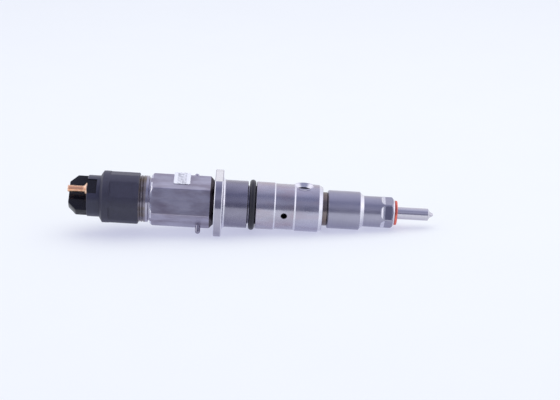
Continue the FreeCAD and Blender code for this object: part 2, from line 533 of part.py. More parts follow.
def make_valve_spring():
    shim = rod(SPRING_SHIM_X, SPRING_SHIM_X - SPRING_SHIM_T, SPRING_HOLE_R - ROOM)
    save("valve_spring_shim", shim)
    spring = coil_spring(SPRING_SHIM_X, SPRING_SEAT_X, VALVE_COIL_R, VALVE_WIRE_R, VALVE_TURNS)
    save("valve_spring", spring)


def make_magnet_housing():
    outer_r = MAGNET_BORE_R - ROOM
    flange_r = CAP_THREAD_R - 0.5
    groove_end_x = MAGNET_GROOVE_X - MAGNET_GROOVE_WIDTH
    housing = turned([
        (MAGNET_FACE_X, outer_r - 0.3), (MAGNET_FACE_X - 0.3, outer_r),
        (MAGNET_GROOVE_X, outer_r), (MAGNET_GROOVE_X, MAGNET_GROOVE_R),
        (groove_end_x, MAGNET_GROOVE_R), (groove_end_x, outer_r), (FLANGE_X, outer_r),
        (FLANGE_X, flange_r), (CAP_NUT_SHOULDER_X, flange_r), (CAP_NUT_SHOULDER_X, HOUSING_R),
        (HOUSING_TOP_X, HOUSING_R)])
    save("magnet_housing", housing.cut(rod(MAGNET_FACE_X, HOUSING_TOP_X, CORE_R + GAP)))
    section_r = (MAGNET_BORE_R - MAGNET_GROOVE_R) / 2 - GAP
    seal_x = (MAGNET_GROOVE_X + groove_end_x) / 2
    save("magnet_o_ring", o_ring(seal_x, MAGNET_GROOVE_R + GAP, section_r))
    save("air_gap_shim", ring(BODY_END_X, FLANGE_X, CAP_THREAD_R - 0.7, MAGNET_BORE_R + ROOM))


# ---- connector cap and terminals ---------------------------------------------------------------
def dividing_wall():
    """Wall between the two terminals, with cut corners and a shallow pocket behind each stud."""
    corner_x = WALL_END_X + WALL_CORNER
    corner_h = WALL_HALF_WIDTH - WALL_CORNER
    wall = prism([
        (CAP_END_X, -WALL_HALF_WIDTH), (corner_x, -WALL_HALF_WIDTH), (WALL_END_X, -corner_h),
        (WALL_END_X, corner_h), (corner_x, WALL_HALF_WIDTH), (CAP_END_X, WALL_HALF_WIDTH)],
        CAP_CLOCK + 90, WALL_HALF_T)
    pockets = [slab(CAP_END_X, WALL_END_X, CAP_CLOCK + turn, WALL_HALF_T - POCKET_DEPTH, CAP_R,
                    POCKET_WIDTH / 2) for turn in (0, 180)]
    return wall.cut(pockets)


def make_connector():
    cap = turned([
        (CAP_NUT_SHOULDER_X - ROOM, CAP_R), (CAP_END_X + 0.4, CAP_R), (CAP_END_X, CAP_R - 0.4)])
    cap = cap.cut(rod(CAP_NUT_SHOULDER_X, HOUSING_TOP_X, HOUSING_R + SLIP))
    plug = rod(CORE_TOP_X, HOUSING_TOP_X, CORE_R)
    cap = cap.fuse([plug, dividing_wall()]).removeSplitter()
    for clock in (CAP_CLOCK, CAP_CLOCK + 180):
        notch = slab(CAP_END_X, CAP_END_X + NOTCH_LENGTH, clock, CAP_R - NOTCH_DEPTH, CAP_R + 1,
                     POCKET_WIDTH / 2)
        stud_hole = rod(CAP_END_X, STUD_ROOT_X, STUD_ROOT_R + GAP, STUD_OFFSET, clock)
        lead_hole = rod(STUD_ROOT_X, CORE_TOP_X, LEAD_R, STUD_OFFSET, clock)
        cap = cap.cut([notch, stud_hole, lead_hole])
    save("connector_cap", cap)


def make_terminals():
    studs, leads = [], []
    for clock in (CAP_CLOCK, CAP_CLOCK + 180):
        stud = turned([
            (STUD_ROOT_X, STUD_ROOT_R), (CAP_END_X, STUD_ROOT_R), (CAP_END_X, STUD_FOOT_R),
            (CAP_END_X - 0.7, STUD_FOOT_R), (CAP_END_X - 1.9, STUD_R),
            (STUD_END_X + 0.3, STUD_R), (STUD_END_X, STUD_R - 0.4)])
        stud.translate(place(0, STUD_OFFSET, clock))
        studs.append(stud)
        leads.append(rod(STUD_ROOT_X, COIL_TOP_X, LEAD_R - GAP, STUD_OFFSET, clock))
    save("terminal_studs", *studs)
    save("coil_leads", *leads)


def main():
    os.makedirs("parts", exist_ok=True)
    make_body()
    make_nozzle_nut()
    make_solenoid_nut()
    make_pins()
    make_outside_seals()
    make_tag()
    make_nozzle()
    make_needle()
    make_closing_parts()
    make_valve_piece()
    make_ball_and_cup()
    make_valve_guide_parts()
    make_armature()
    make_magnet()
    make_valve_spring()
    make_magnet_housing()
    make_connector()
    make_terminals()


main()
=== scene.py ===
"""Looks of the fuel injector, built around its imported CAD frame.

The injector lies along X. A clock angle of 0 faces -Y and 90 faces +Z. Lengths are in millimetres until
a mesh is made, and in metres from there on.
"""

import json
import math

import bmesh
import bpy
import numpy as np
from mathutils import Matrix, Vector


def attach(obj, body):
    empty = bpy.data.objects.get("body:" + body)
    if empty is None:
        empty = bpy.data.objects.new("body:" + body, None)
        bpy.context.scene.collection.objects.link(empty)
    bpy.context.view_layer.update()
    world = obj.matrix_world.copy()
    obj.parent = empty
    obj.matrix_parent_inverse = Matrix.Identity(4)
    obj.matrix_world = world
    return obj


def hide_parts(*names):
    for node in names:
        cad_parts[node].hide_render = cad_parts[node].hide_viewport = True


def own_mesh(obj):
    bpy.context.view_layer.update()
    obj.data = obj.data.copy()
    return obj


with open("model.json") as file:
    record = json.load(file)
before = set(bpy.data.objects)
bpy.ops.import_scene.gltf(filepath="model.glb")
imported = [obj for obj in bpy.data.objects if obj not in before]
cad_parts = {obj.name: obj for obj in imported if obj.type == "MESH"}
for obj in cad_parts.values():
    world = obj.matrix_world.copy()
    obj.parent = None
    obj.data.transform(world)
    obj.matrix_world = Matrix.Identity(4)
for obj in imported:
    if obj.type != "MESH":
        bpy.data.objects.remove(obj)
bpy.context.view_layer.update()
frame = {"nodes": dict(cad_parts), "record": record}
SLOTS = {part["node"]: part["material_slot"] for part in frame["record"]["subparts"]}

MM = 0.001

# ---- stations along X and radii of the injector body -------------------------------------------
NOZZLE_FACE_X, NECK_X, INLET_SECTION_X, RETURN_SECTION_X = -30.0, -40.1, -42.9, -59.0
BARREL_X, COLLAR_FILLET = -70.3, 2.2
GROOVE_X, GROOVE_WIDTH, GROOVE_R = -80.7, 4.7, 10.9
COLLAR_X, COLLAR_T, COLLAR_R, COLLAR_FLAT = -99.7, 4.7, 19.8, 16.5
HEAD_X = COLLAR_X - COLLAR_T
HEAD_END_X, BODY_END_X = -140.5, -154.0
HEAD_ROOT_R, HEAD_R, HEAD_FLAT, HEAD_CLOCK = 12.4, 15.0, 13.0, 15.1
NECK_R, INLET_SECTION_R, RETURN_SECTION_R, BARREL_R = 9.6, 13.5, 13.0, 13.5
CLAMP_LAND_R, CLAMP_LAND_STEP = 15.4, 0.1
CAP_THREAD_R, CAP_THREAD_PITCH, CAP_THREAD_DEPTH = 13.3, 1.5, 0.5
THREAD_START_X = HEAD_END_X - 2.6
NOZZLE_THREAD_R = 9.0
INLET_X, INLET_CLOCK, INLET_BOSS_R, INLET_BOSS_TOP = -53.8, 90.0, 5.9, 13.2
# inside INLET_SHADE_R the inlet cone is painted near-black as shade
INLET_MOUTH_R, INLET_SHADE_R, INLET_HOLE_R = 5.5, 4.2, 2.0
RETURN_X, RETURN_CLOCK, RETURN_R = -64.6, -6.0, 1.7
FEED_OFFSET, FEED_R, LEAK_OFFSET, LEAK_R = 5.9, 0.9, 9.0, 1.0

# bores of the body, from the solenoid end back to the nozzle end
BORES = [(BODY_END_X, 11.2), (-141.0, 11.2), (-141.0, 9.5), (-130.5, 9.5), (-130.5, 8.6),
         (-124.0, 8.6), (-124.0, 4.6), (-121.0, 4.6), (-121.0, 6.4), (-114.0, 6.4),
         (-114.0, 4.6), (-110.3, 4.6), (-110.3, 2.6), (-56.0, 2.6), (-56.0, 4.2),
         (NOZZLE_FACE_X, 4.2)]

# ---- nozzle end --------------------------------------------------------------------------------
TIP_X, SHANK_END_X, SHANK_R = 21.0, 18.0, 3.5
WASHER_T, WASHER_R, WASHER_LAND_R = 1.5, 7.0, 3.8
NOSE_X, NOSE_R, NOSE_FLAT, NOSE_CLOCK, NOSE_FLATS_END_X = -1.5, 8.8, 7.8, 16.4, -7.0
NOSE_CUTTER_R = 4.0
NOSE_STEP_X, SLEEVE_START_X, SLEEVE_END_X, SLEEVE_R = -19.2, -21.5, -39.8, 10.9
NOZZLE_SHOULDER_X, NOZZLE_COLLAR_R, NOZZLE_RELIEF_R, NOZZLE_BORE_R = -9.5, 7.15, 4.2, 2.1

# ---- solenoid end ------------------------------------------------------------------------------
CAP_NUT_X, CAP_NUT_END_X, CAP_NUT_R, CAP_NUT_SHOULDER_X = -147.2, -169.1, 14.8, -158.2
CAP_NUT_FLATS_END_X, CAP_NUT_FLAT, CAP_NUT_CLOCK = -163.9, 14.0, 37.4
CAP_END_X, CAP_R, CAP_CLOCK, HOUSING_TOP_X, HOUSING_R = -176.5, 11.8, 49.0, -166.0, 10.6
CORE_TOP_X, CORE_R = -163.5, 9.0
WALL_END_X, WALL_HALF_WIDTH, WALL_HALF_T, WALL_CORNER = -187.0, 11.3, 3.0, 4.5
POCKET_WIDTH, POCKET_DEPTH, NOTCH_LENGTH, NOTCH_DEPTH = 9.4, 0.8, 5.4, 1.6
STUD_END_X, STUD_ROOT_X, STUD_OFFSET = -187.6, -171.5, 6.9
STUD_R, STUD_ROOT_R, STUD_FOOT_R, STUD_PITCH, LEAD_R = 2.0, 1.5, 3.55, 0.7, 0.5

# ---- pins, tag and O-ring ----------------------------------------------------------------------
PIN_R = 1.5
LONG_PIN = {"x": -113.0, "clock": -66.0, "root": 10.3, "end": 18.4}
REAR_PIN = {"x": -115.0, "clock": 119.0, "root": 10.3, "end": 16.2}
TAG_X, TAG_LENGTH, TAG_WIDTH, TAG_T, TAG_SHIFT = -118.5, 9.3, 11.5, 0.3, 3.15
SEAL_R, SEAL_INNER_R = 1.74, 10.91

# ---- springs: the joint that shortens each, its fixed and free ends, and the joint's stroke ----
SPRINGS = {"nozzle_spring": ("thrust_pin_lift", -55.0, -33.5, 0.25),
           "valve_spring": ("armature_lift", -160.7, -149.6, 0.05),
           "armature_spring": ("plate_overtravel", -141.6, -146.9, 0.04)}

# ---- mesh settings -----------------------------------------------------------------------------
EDGE = 0.15                     # default rounding of a turned corner
SHARP = math.radians(32)        # faces that meet at more than this stay sharp
LONGEST_STEP = 6.0              # longest segment of a path outside the refined zones
FAR = 30.0                      # a radius outside every piece


# ---- meshes ------------------------------------------------------------------------------------
def spot(x, radius=0.0, clock=0.0, side=0.0):
    """Point at station x, at a radius along a clock angle, moved sideways round the axis."""
    a = math.radians(clock)
    return Vector((x, -radius * math.cos(a) + side * math.sin(a),
                   radius * math.sin(a) + side * math.cos(a)))


def soften(path, edge=EDGE, steps=4):
    """Rounds each corner of an (x, r) path, with one support point beside each round.

    A point may carry its own rounding radius as a third number.
    """
    points = [np.array(p[:2], float) for p in path]
    radii = [p[2] if len(p) > 2 else edge for p in path]
    result = [points[0]]
    for before, here, after, radius in zip(points, points[1:], points[2:], radii[1:]):
        a, b = before - here, after - here
        la, lb = np.linalg.norm(a), np.linalg.norm(b)
        if radius <= 0 or min(la, lb) < 1e-6:
            result.append(here)
            continue
        a, b = a / la, b / lb
        half = math.acos(max(-1.0, min(1.0, float(a @ b)))) / 2
        reach = min(radius / math.tan(half), 0.42 * la, 0.42 * lb) if half < 1.55 else 0.0
        if reach < 1e-4:
            result.append(here)
            continue
        r = reach * math.tan(half)
        middle = (a + b) / np.linalg.norm(a + b)
        centre = here + middle * (r / math.sin(half))
        start, end = here + a * reach, here + b * reach
        result.append(here + a * min(reach + 0.12, 0.46 * la))
        u, v = start - centre, end - centre
        turn = math.acos(max(-1.0, min(1.0, float(u @ v) / (r * r))))
        for k in range(steps + 1):
            f = k / steps
            w = (math.sin((1 - f) * turn) * u + math.sin(f * turn) * v) / math.sin(turn)
            result.append(centre + w)
        result.append(here + b * min(reach + 0.12, 0.46 * lb))
    result.append(points[-1])
    return result


def refine(path, zones):
    """Splits the segments of an (x, r) path so that no step in a zone (x0, x1, step) is longer."""
    result = [path[0]]
    for a, b in zip(path, path[1:]):
        low, high = min(a[0], b[0]), max(a[0], b[0])
        step = min([s for x0, x1, s in zones if low < max(x0, x1) and high > min(x0, x1)]
                   + [LONGEST_STEP])
        pieces = max(1, math.ceil(math.dist(a, b) / step - 1e-6))
        result += [a + (b - a) * k / pieces for k in range(1, pieces + 1)]
    return result


def round_min(a, b, blend):
    """Smaller of two lengths, with the corner between them rounded over blend."""
    h = np.maximum(blend - np.abs(a - b), 0) / blend
    return np.minimum(a, b) - h * h * blend / 4


def flats(theta, flat, clock, count, blend=0.3):
    """Radius of a bar with equal flats, at clock angles theta."""
    limit = np.full_like(theta, 1e3)
    for k in range(count):
        c = np.cos(theta - math.radians(clock + 360 * k / count))
        limit = round_min(limit, np.where(c > 0.2, flat / np.maximum(c, 0.2), 1e3), blend)
    return limit


def helix_cut(x, theta, x0, x1, pitch, depth):
    """Depth of a screw thread's groove, which fades out at both ends."""
    phase = (x / pitch + theta / (2 * math.pi)) % 1.0
    groove = np.clip(1.25 - np.abs(phase - 0.5) * 4.4, 0, 1)
    low, high = min(x0, x1), max(x0, x1)
    fade = np.clip((x - low) / (0.9 * pitch), 0, 1) * np.clip((high - x) / (0.9 * pitch), 0, 1)
    return depth * groove * fade


def dial(count, corners=(), width=2.4, extra=8):
    """Clock angles all the way round, with more of them beside the corners, in radians."""
    angles = set(np.round(np.linspace(0, 360, count, endpoint=False), 4))
    for corner in corners:
        for offset in np.linspace(-width, width, extra):
            angles.add(round(float(corner + offset) % 360, 4))
    ordered = sorted(angles)
    kept = [a for a, b in zip(ordered, ordered[1:] + [ordered[0] + 360]) if b - a > 0.08]
    return np.radians(kept)


def spin(name, path, angles, closed=False, form=None):
    """Object whose skin is an (x, r) path turned about X. form changes r at each (x, clock angle)."""
    path = [np.asarray(p, float) for p in path]
    if closed and np.allclose(path[0], path[-1]):
        path = path[:-1]
    x = np.array([p[0] for p in path])[:, None] * np.ones((1, len(angles)))
    r = np.array([p[1] for p in path])[:, None] * np.ones((1, len(angles)))
    theta = np.ones((len(path), 1)) * angles[None, :]
    if form:
        r = form(x, r, theta)
    points = np.stack([x, -r * np.cos(theta), r * np.sin(theta)], -1).reshape(-1, 3) * MM
    index = np.arange(len(points)).reshape(x.shape)
    here, after = (index, np.roll(index, -1, 0)) if closed else (index[:-1], index[1:])
    quads = np.stack([here, np.roll(here, -1, 1), np.roll(after, -1, 1), after], -1).reshape(-1, 4)
    corner = [points[quads[:, k]] for k in range(4)]
    volume = sum((corner[0] * np.cross(corner[k], corner[k + 1])).sum() for k in (1, 2))
    faces = quads.tolist()
    poles = [row for row in (0, -1) if not closed and path[row][1] < 1e-6]
    for row in (0, -1):
        if not closed and row not in poles:
            faces.append(index[row].tolist()[:: 1 if row else -1])
    if volume < 0:
        faces = [face[::-1] for face in faces]
    data = bpy.data.meshes.new(name)
    data.from_pydata(points.tolist(), [], faces)
    thing = bpy.data.objects.new(name, data)
    bpy.context.scene.collection.objects.link(thing)
    if poles:
        mesh = bmesh.new()
        mesh.from_mesh(data)
        bmesh.ops.remove_doubles(mesh, verts=mesh.verts, dist=1e-7)
        mesh.to_mesh(data)
        mesh.free()
    return thing


def to_object(name, mesh):
    data = bpy.data.meshes.new(name)
    mesh.to_mesh(data)
    mesh.free()
    thing = bpy.data.objects.new(name, data)
    bpy.context.scene.collection.objects.link(thing)
    return thing


def block(name, outline, clock, half_width, edge=0.0):
    """Outline of (x, height) points facing a clock angle, extruded to both sides by half_width."""
    mesh = bmesh.new()
    near = [mesh.verts.new(spot(x, h, clock, -half_width) * MM) for x, h in outline]
    far = [mesh.verts.new(spot(x, h, clock, half_width) * MM) for x, h in outline]
    mesh.faces.new(near)
    mesh.faces.new(far[::-1])
    for k in range(len(outline)):
        n = (k + 1) % len(outline)
        mesh.faces.new([near[n], near[k], far[k], far[n]])
    bmesh.ops.recalc_face_normals(mesh, faces=mesh.faces)
    thing = to_object(name, mesh)
    if edge:
        bevel = thing.modifiers.new("edge", "BEVEL")
        bevel.width, bevel.segments, bevel.limit_method = edge * MM, 4, "NONE"
        apply_modifiers(thing)
    return thing


def bar(x0, x1, clock, low, high, half_width):
    """Plain cutter box between two heights above the axis."""
    return block("cutter", [(x0, low), (x1, low), (x1, high), (x0, high)], clock, half_width)


def apply_modifiers(thing):
    bpy.context.view_layer.update()
    evaluated = thing.evaluated_get(bpy.context.evaluated_depsgraph_get())
    data = bpy.data.meshes.new_from_object(evaluated)
    old = thing.data
    thing.modifiers.clear()
    thing.data = data
    bpy.data.meshes.remove(old)


def turn_to(thing, origin, clock):
    """Moves a piece made about the X axis so that its axis points outward at a clock angle."""
    outward = spot(0, 1, clock)
    side = Vector((1, 0, 0))
    turn = Matrix((outward, outward.cross(side), -side)).transposed()
    thing.data.transform(Matrix.Translation(Vector(origin) * MM) @ turn.to_4x4())
    return thing


def combine(thing, other, operation):
    """Joins or cuts thing with other by a boolean, and removes other."""
    modifier = thing.modifiers.new("shape", "BOOLEAN")
    modifier.operation, modifier.object, modifier.solver = operation, other, "MANIFOLD"
    apply_modifiers(thing)
    bpy.data.objects.remove(other)
    return thing


def cut(thing, *cutters):
    for cutter in cutters:
        combine(thing, cutter, "DIFFERENCE")
    return thing


def plug(path, count=64):
    """Solid of revolution used to cut or join."""
    return spin("cutter", path, dial(count))


def drill(x0, x1, radius, offset, clock):
    """Cutter for a drilling that runs beside the axis."""
    thing = plug([(x0, 0), (x0, radius), (x1, radius), (x1, 0)], 32)
    thing.data.transform(Matrix.Translation(spot(0, offset, clock) * MM))
    return thing


def spoke(x, clock, path, count=64):
    """Solid of revolution about a line that leaves the axis at station x; path is (height, r)."""
    return turn_to(plug(path, count), (x, 0, 0), clock)


def finish_piece(thing, node, look):
    """Smooth shading, the material, and the piece's place in the frame."""
    data = thing.data
    data.shade_smooth()
    data.set_sharp_from_angle(angle=SHARP)
    data.materials.clear()
    data.materials.append(look)
    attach(thing, "injector")
    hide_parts(node)


def paint(thing, zones, upright=()):
    """Gives faces between two stations and two radii their own material. Later zones win.

    Each (station, radius, look) in upright does the same inside a hole that opens upward.
    """
    data = thing.data
    middles = np.zeros(len(data.polygons) * 3)
    data.polygons.foreach_get("center", middles)
    x, y, z = middles.reshape(-1, 3).T / MM
    radii = np.hypot(y, z)
    index = np.zeros(len(data.polygons), np.int32)
    for x0, x1, low_r, high_r, look in zones:
        data.materials.append(look)
        inside = (x > min(x0, x1)) & (x < max(x0, x1)) & (radii > low_r) & (radii < high_r)
        index[inside] = len(data.materials) - 1
    for station, hole_r, look in upright:
        data.materials.append(look)
        index[(np.hypot(x - station, y) < hole_r) & (z > 0)] = len(data.materials) - 1
    data.polygons.foreach_set("material_index", index)


# ---- materials ---------------------------------------------------------------------------------
class Look:
    """A procedural material: the Principled shader and short calls for the nodes that feed it."""

    def __init__(self, name, **inputs):
        self.material = bpy.data.materials.new(name)
        self.material.use_nodes = True
        self.tree = self.material.node_tree
        self.tree.nodes.clear()
        output = self.node("OutputMaterial")
        self.shader = self.node("BsdfPrincipled")
        self.tree.links.new(self.shader.outputs[0], output.inputs["Surface"])
        self.place = self.node("TexCoord").outputs["Object"]
        for key, value in inputs.items():
            self.feed(self.shader.inputs[key.replace("_", " ").title().replace("Ior", "IOR")], value)

    def node(self, kind, **settings):
        node = self.tree.nodes.new("ShaderNode" + kind)
        for key, value in settings.items():
            setattr(node, key, value)
        return node

    def feed(self, socket, value):
        if isinstance(value, bpy.types.NodeSocket):
            self.tree.links.new(value, socket)
        elif isinstance(value, tuple) and socket.type == "RGBA":
            socket.default_value = (*value, 1.0)
        else:
            socket.default_value = value

    def scaled(self, per_mm, stretch=(1, 1, 1)):
        """Object coordinates, with per_mm cells to the millimetre, stretched along the axes."""
        node = self.node("VectorMath", operation="MULTIPLY")
        self.feed(node.inputs[0], self.place)
        node.inputs[1].default_value = [per_mm * s / MM for s in stretch]
        return node.outputs[0]

    def noise(self, per_mm, stretch=(1, 1, 1), detail=3.0, rough=0.5):
        node = self.node("TexNoise")
        self.feed(node.inputs["Vector"], self.scaled(per_mm, stretch))
        self.feed(node.inputs["Scale"], 1.0)
        self.feed(node.inputs["Detail"], detail)
        self.feed(node.inputs["Roughness"], rough)
        return node.outputs["Fac"]

    def remap(self, value, low, high, to_low=0.0, to_high=1.0):
        node = self.node("MapRange")
        for socket, v in zip(node.inputs, (value, low, high, to_low, to_high)):
            self.feed(socket, v)
        return node.outputs[0]

    def math(self, operation, a, b=0.0):
        node = self.node("Math", operation=operation)
        self.feed(node.inputs[0], a)
        self.feed(node.inputs[1], b)
        return node.outputs[0]

    def mix(self, factor, a, b):
        node = self.node("Mix", data_type="RGBA")
        self.feed(node.inputs[0], factor)
        self.feed(node.inputs[6], a)
        self.feed(node.inputs[7], b)
        return node.outputs[2]

    def station(self):
        """Position along X in millimetres."""
        node = self.node("SeparateXYZ")
        self.feed(node.inputs[0], self.scaled(1.0))
        return node.outputs[0]

    def bump(self, height, depth_mm, strength=1.0):
        node = self.node("Bump")
        self.feed(node.inputs["Strength"], strength)
        self.feed(node.inputs["Distance"], depth_mm * MM)
        self.feed(node.inputs["Height"], height)
        self.feed(self.shader.inputs["Normal"], node.outputs[0])

    def use(self, key, value):
        self.feed(self.shader.inputs[key], value)


def shade(colour, factor):
    return tuple(min(1.0, c * factor) for c in colour)


RINGS, STREAKS, SPECKLE, CLOUDS = (1, 0.03, 0.03), (0.04, 1, 1), (1, 1, 1), (0.6, 1.6, 1.6)


def steel(name, colour, roughness, grain=RINGS, grain_per_mm=5.0, grain_depth=0.001,
          mottle=0.08, spread=0.05, anisotropy=0.75, stain=None, stain_amount=0.0):
    """Machined steel: fine tool marks along the grain, cloudy tint, and optional oxide stains."""
    look = Look(name, metallic=1.0, anisotropic=anisotropy, anisotropic_rotation=0.25)
    marks = look.noise(grain_per_mm, grain, 3.0, 0.5)
    cloud = look.noise(0.09, CLOUDS, 2.0, 0.5)
    colour_out = look.mix(look.remap(cloud, 0.3, 0.7), shade(colour, 1 - mottle),
                          shade(colour, 1 + mottle))
    fine = look.remap(marks, 0.3, 0.7)
    colour_out = look.mix(look.math("MULTIPLY", fine, 0.2), colour_out, shade(colour, 0.72))
    if stain:
        patches = look.remap(look.noise(0.12, CLOUDS, 3.0, 0.55), 0.42, 0.7, 0.0, stain_amount)
        colour_out = look.mix(patches, colour_out, stain)
    look.use("Base Color", colour_out)
    worn = look.noise(0.25, CLOUDS, 2.0, 0.5)
    rough = look.math("ADD", look.remap(marks, 0.25, 0.75, roughness - spread, roughness + spread),
                      look.remap(worn, 0.35, 0.75, -0.03, 0.05))
    look.use("Roughness", rough)
    tangent = look.node("Tangent", direction_type="RADIAL", axis="X")
    look.use("Tangent", tangent.outputs[0])
    look.bump(marks, grain_depth)
    return look.material


def coated(name, colour, roughness, speck=0.25, depth=0.02, per_mm=2.5, gloss=0.5, metallic=0.0):
    """Painted, coated or moulded surface with a fine grain."""
    look = Look(name, metallic=metallic, specular_ior_level=gloss)
    grain = look.noise(per_mm, SPECKLE, 4.0, 0.6)
    cloud = look.noise(0.3, SPECKLE, 3.0, 0.5)
    colour_out = look.mix(look.remap(grain, 0.35, 0.7), shade(colour, 1 - speck),
                          shade(colour, 1 + speck))
    colour_out = look.mix(look.remap(cloud, 0.35, 0.7, 0.0, 0.4), colour_out, shade(colour, 1.25))
    look.use("Base Color", colour_out)
    look.use("Roughness", look.remap(grain, 0.2, 0.8, roughness - 0.07, roughness + 0.09))
    look.bump(grain, depth)
    return look.material


def soft_metal(name, colour, roughness, dark, amount=0.5):
    """Copper with darker tarnish in patches."""
    look = Look(name, metallic=1.0)
    tarnish = look.remap(look.noise(1.2, SPECKLE, 5.0, 0.65), 0.42, 0.72, 0.0, amount)
    look.use("Base Color", look.mix(tarnish, colour, dark))
    fine = look.noise(8.0, SPECKLE, 3.0, 0.6)
    look.use("Roughness", look.remap(fine, 0.2, 0.8, roughness - 0.06, roughness + 0.1))
    look.bump(fine, 0.01)
    return look.material


def tag_look():
    """Pale tag with a printed field of random grey cells that means nothing."""
    look = Look("tag_look", specular_ior_level=0.4)
    cells = look.node("TexWhiteNoise", noise_dimensions="3D")
    snapped = look.node("VectorMath", operation="FLOOR")
    look.feed(snapped.inputs[0], look.scaled(1.3))
    look.feed(cells.inputs["Vector"], snapped.outputs[0])
    from_middle = look.math("ABSOLUTE", look.math("SUBTRACT", look.station(), TAG_X - TAG_LENGTH / 2))
    window = look.remap(from_middle, 2.4, 2.7, 0.8, 0.0)
    print_mask = look.math("MULTIPLY", cells.outputs[0], window)
    look.use("Base Color", look.mix(print_mask, (0.66, 0.67, 0.72), (0.22, 0.22, 0.26)))
    grain = look.noise(3.0, SPECKLE, 3.0, 0.6)
    look.use("Roughness", look.remap(grain, 0.3, 0.7, 0.42, 0.6))
    look.bump(grain, 0.01)
    return look.material


# PAINTED_SHADE_DARK is a near-black painted shade for the cones beside the collar and at the neck
VIOLET_STEEL, SATIN, PAINTED_SHADE_DARK = (0.30, 0.285, 0.36), (0.40, 0.39, 0.48), (0.055, 0.045, 0.05)


def make_looks():
    """Materials by name, for the visible pieces and for the record's slots."""
    looks = {
        "barrel": steel("turned_barrel", VIOLET_STEEL, 0.27, mottle=0.12),
        "return_section": steel("turned_return_section", (0.50, 0.48, 0.56), 0.27, mottle=0.14,
                                stain=(0.42, 0.30, 0.34), stain_amount=0.45),
        "inlet_section": steel("turned_inlet_section", (0.48, 0.47, 0.57), 0.30, mottle=0.12,
                               stain=(0.44, 0.34, 0.38), stain_amount=0.35),
        "collar": steel("turned_collar", (0.44, 0.42, 0.50), 0.20, mottle=0.08),
        # collar_flat: ground steel, coloured far lighter than the collar as a painted highlight of the
        # overhead light
        "collar_flat": steel("ground_collar_flat_and_painted_highlight", (0.84, 0.83, 0.88), 0.22, mottle=0.06,
                             anisotropy=0.0),
        # edge: much lighter steel, a painted highlight for chamfers, fillets, steps and the inlet mouth
        "edge": steel("painted_highlight_edge", (0.80, 0.79, 0.86), 0.24, mottle=0.10, anisotropy=0.0),
        "nose_flat": steel("milled_nose_flat", SATIN, 0.12, mottle=0.06, anisotropy=0.0),
        "relief": steel("turned_relief", (0.24, 0.20, 0.20), 0.3, mottle=0.2,
                        stain=(0.20, 0.14, 0.10), stain_amount=0.5),
        # cone: painted shade, near-black in the hollow between hexagon and collar and at the neck
        "cone": steel("painted_shade_cone", PAINTED_SHADE_DARK, 0.30, mottle=0.3),
        "hexagon": steel("milled_hexagon", (0.46, 0.44, 0.53), 0.36, grain=STREAKS,
                         grain_per_mm=1.6, grain_depth=0.001, mottle=0.12, anisotropy=0.0,
                         stain=(0.27, 0.23, 0.29), stain_amount=0.8),
        "thread": steel("cut_thread", (0.25, 0.23, 0.27), 0.33, mottle=0.3,
                        stain=(0.20, 0.15, 0.10), stain_amount=0.8),
        # bore: near-black, painted shade in the bores and down the inlet hole
        "bore": steel("bore_painted_shade", (0.03, 0.03, 0.04), 0.5, mottle=0.3, anisotropy=0.0),
        "body_steel": steel("body_steel", VIOLET_STEEL, 0.28),
        "nut_steel": steel("satin_nut", SATIN, 0.36, mottle=0.05, grain_per_mm=3.0),
        "nozzle_steel": steel("ground_nozzle", (0.62, 0.60, 0.66), 0.2, mottle=0.06,
                              grain_depth=0.0006),
        "ground_steel": steel("ground_steel", (0.55, 0.54, 0.58), 0.18, mottle=0.05,
                              grain_per_mm=9.0, grain_depth=0.0005),
        "spring_steel": steel("spring_wire", (0.28, 0.27, 0.31), 0.35, mottle=0.2),
        "shim_steel": steel("shim_stock", (0.52, 0.51, 0.55), 0.22, mottle=0.06),
        "magnet_iron": coated("sintered_iron", (0.20, 0.20, 0.22), 0.48, 0.35, 0.03, 4.0,
                              metallic=0.9),
        "housing_steel": steel("housing_steel", (0.40, 0.39, 0.43), 0.3),
        "washer_copper": soft_metal("annealed_copper", (0.92, 0.20, 0.15), 0.34,
                                    (0.45, 0.10, 0.08), 0.5),
        "winding_copper": soft_metal("enamelled_copper", (0.70, 0.28, 0.10), 0.28,
                                     (0.40, 0.12, 0.05), 0.4),
        "terminal_copper": soft_metal("terminal_copper", (1.0, 0.70, 0.50), 0.26,
                                      (0.70, 0.30, 0.18), 0.3),
        "nut_black": coated("matte_black_nut", (0.030, 0.029, 0.054), 0.47, 0.3, 0.03, 2.2),
        "cap_plastic": coated("black_connector", (0.006, 0.006, 0.012), 0.20, 0.25, 0.006, 1.5, 0.3),
        "disc_plastic": coated("charcoal_disc", (0.030, 0.030, 0.058), 0.36, 0.3, 0.015, 2.0, 0.45),
        "bobbin_plastic": coated("bobbin_plastic", (0.10, 0.10, 0.11), 0.5, 0.2, 0.02),
        "seal_rubber": coated("fluoro_rubber", (0.014, 0.013, 0.021), 0.36, 0.3, 0.02, 1.8, 0.4),
        "seal_ptfe": coated("seal_ptfe", (0.78, 0.76, 0.70), 0.45, 0.06, 0.01),
        "pin_steel": steel("polished_pin", (0.40, 0.38, 0.46), 0.14, mottle=0.3),
        "tag": tag_look(),
    }
    return looks


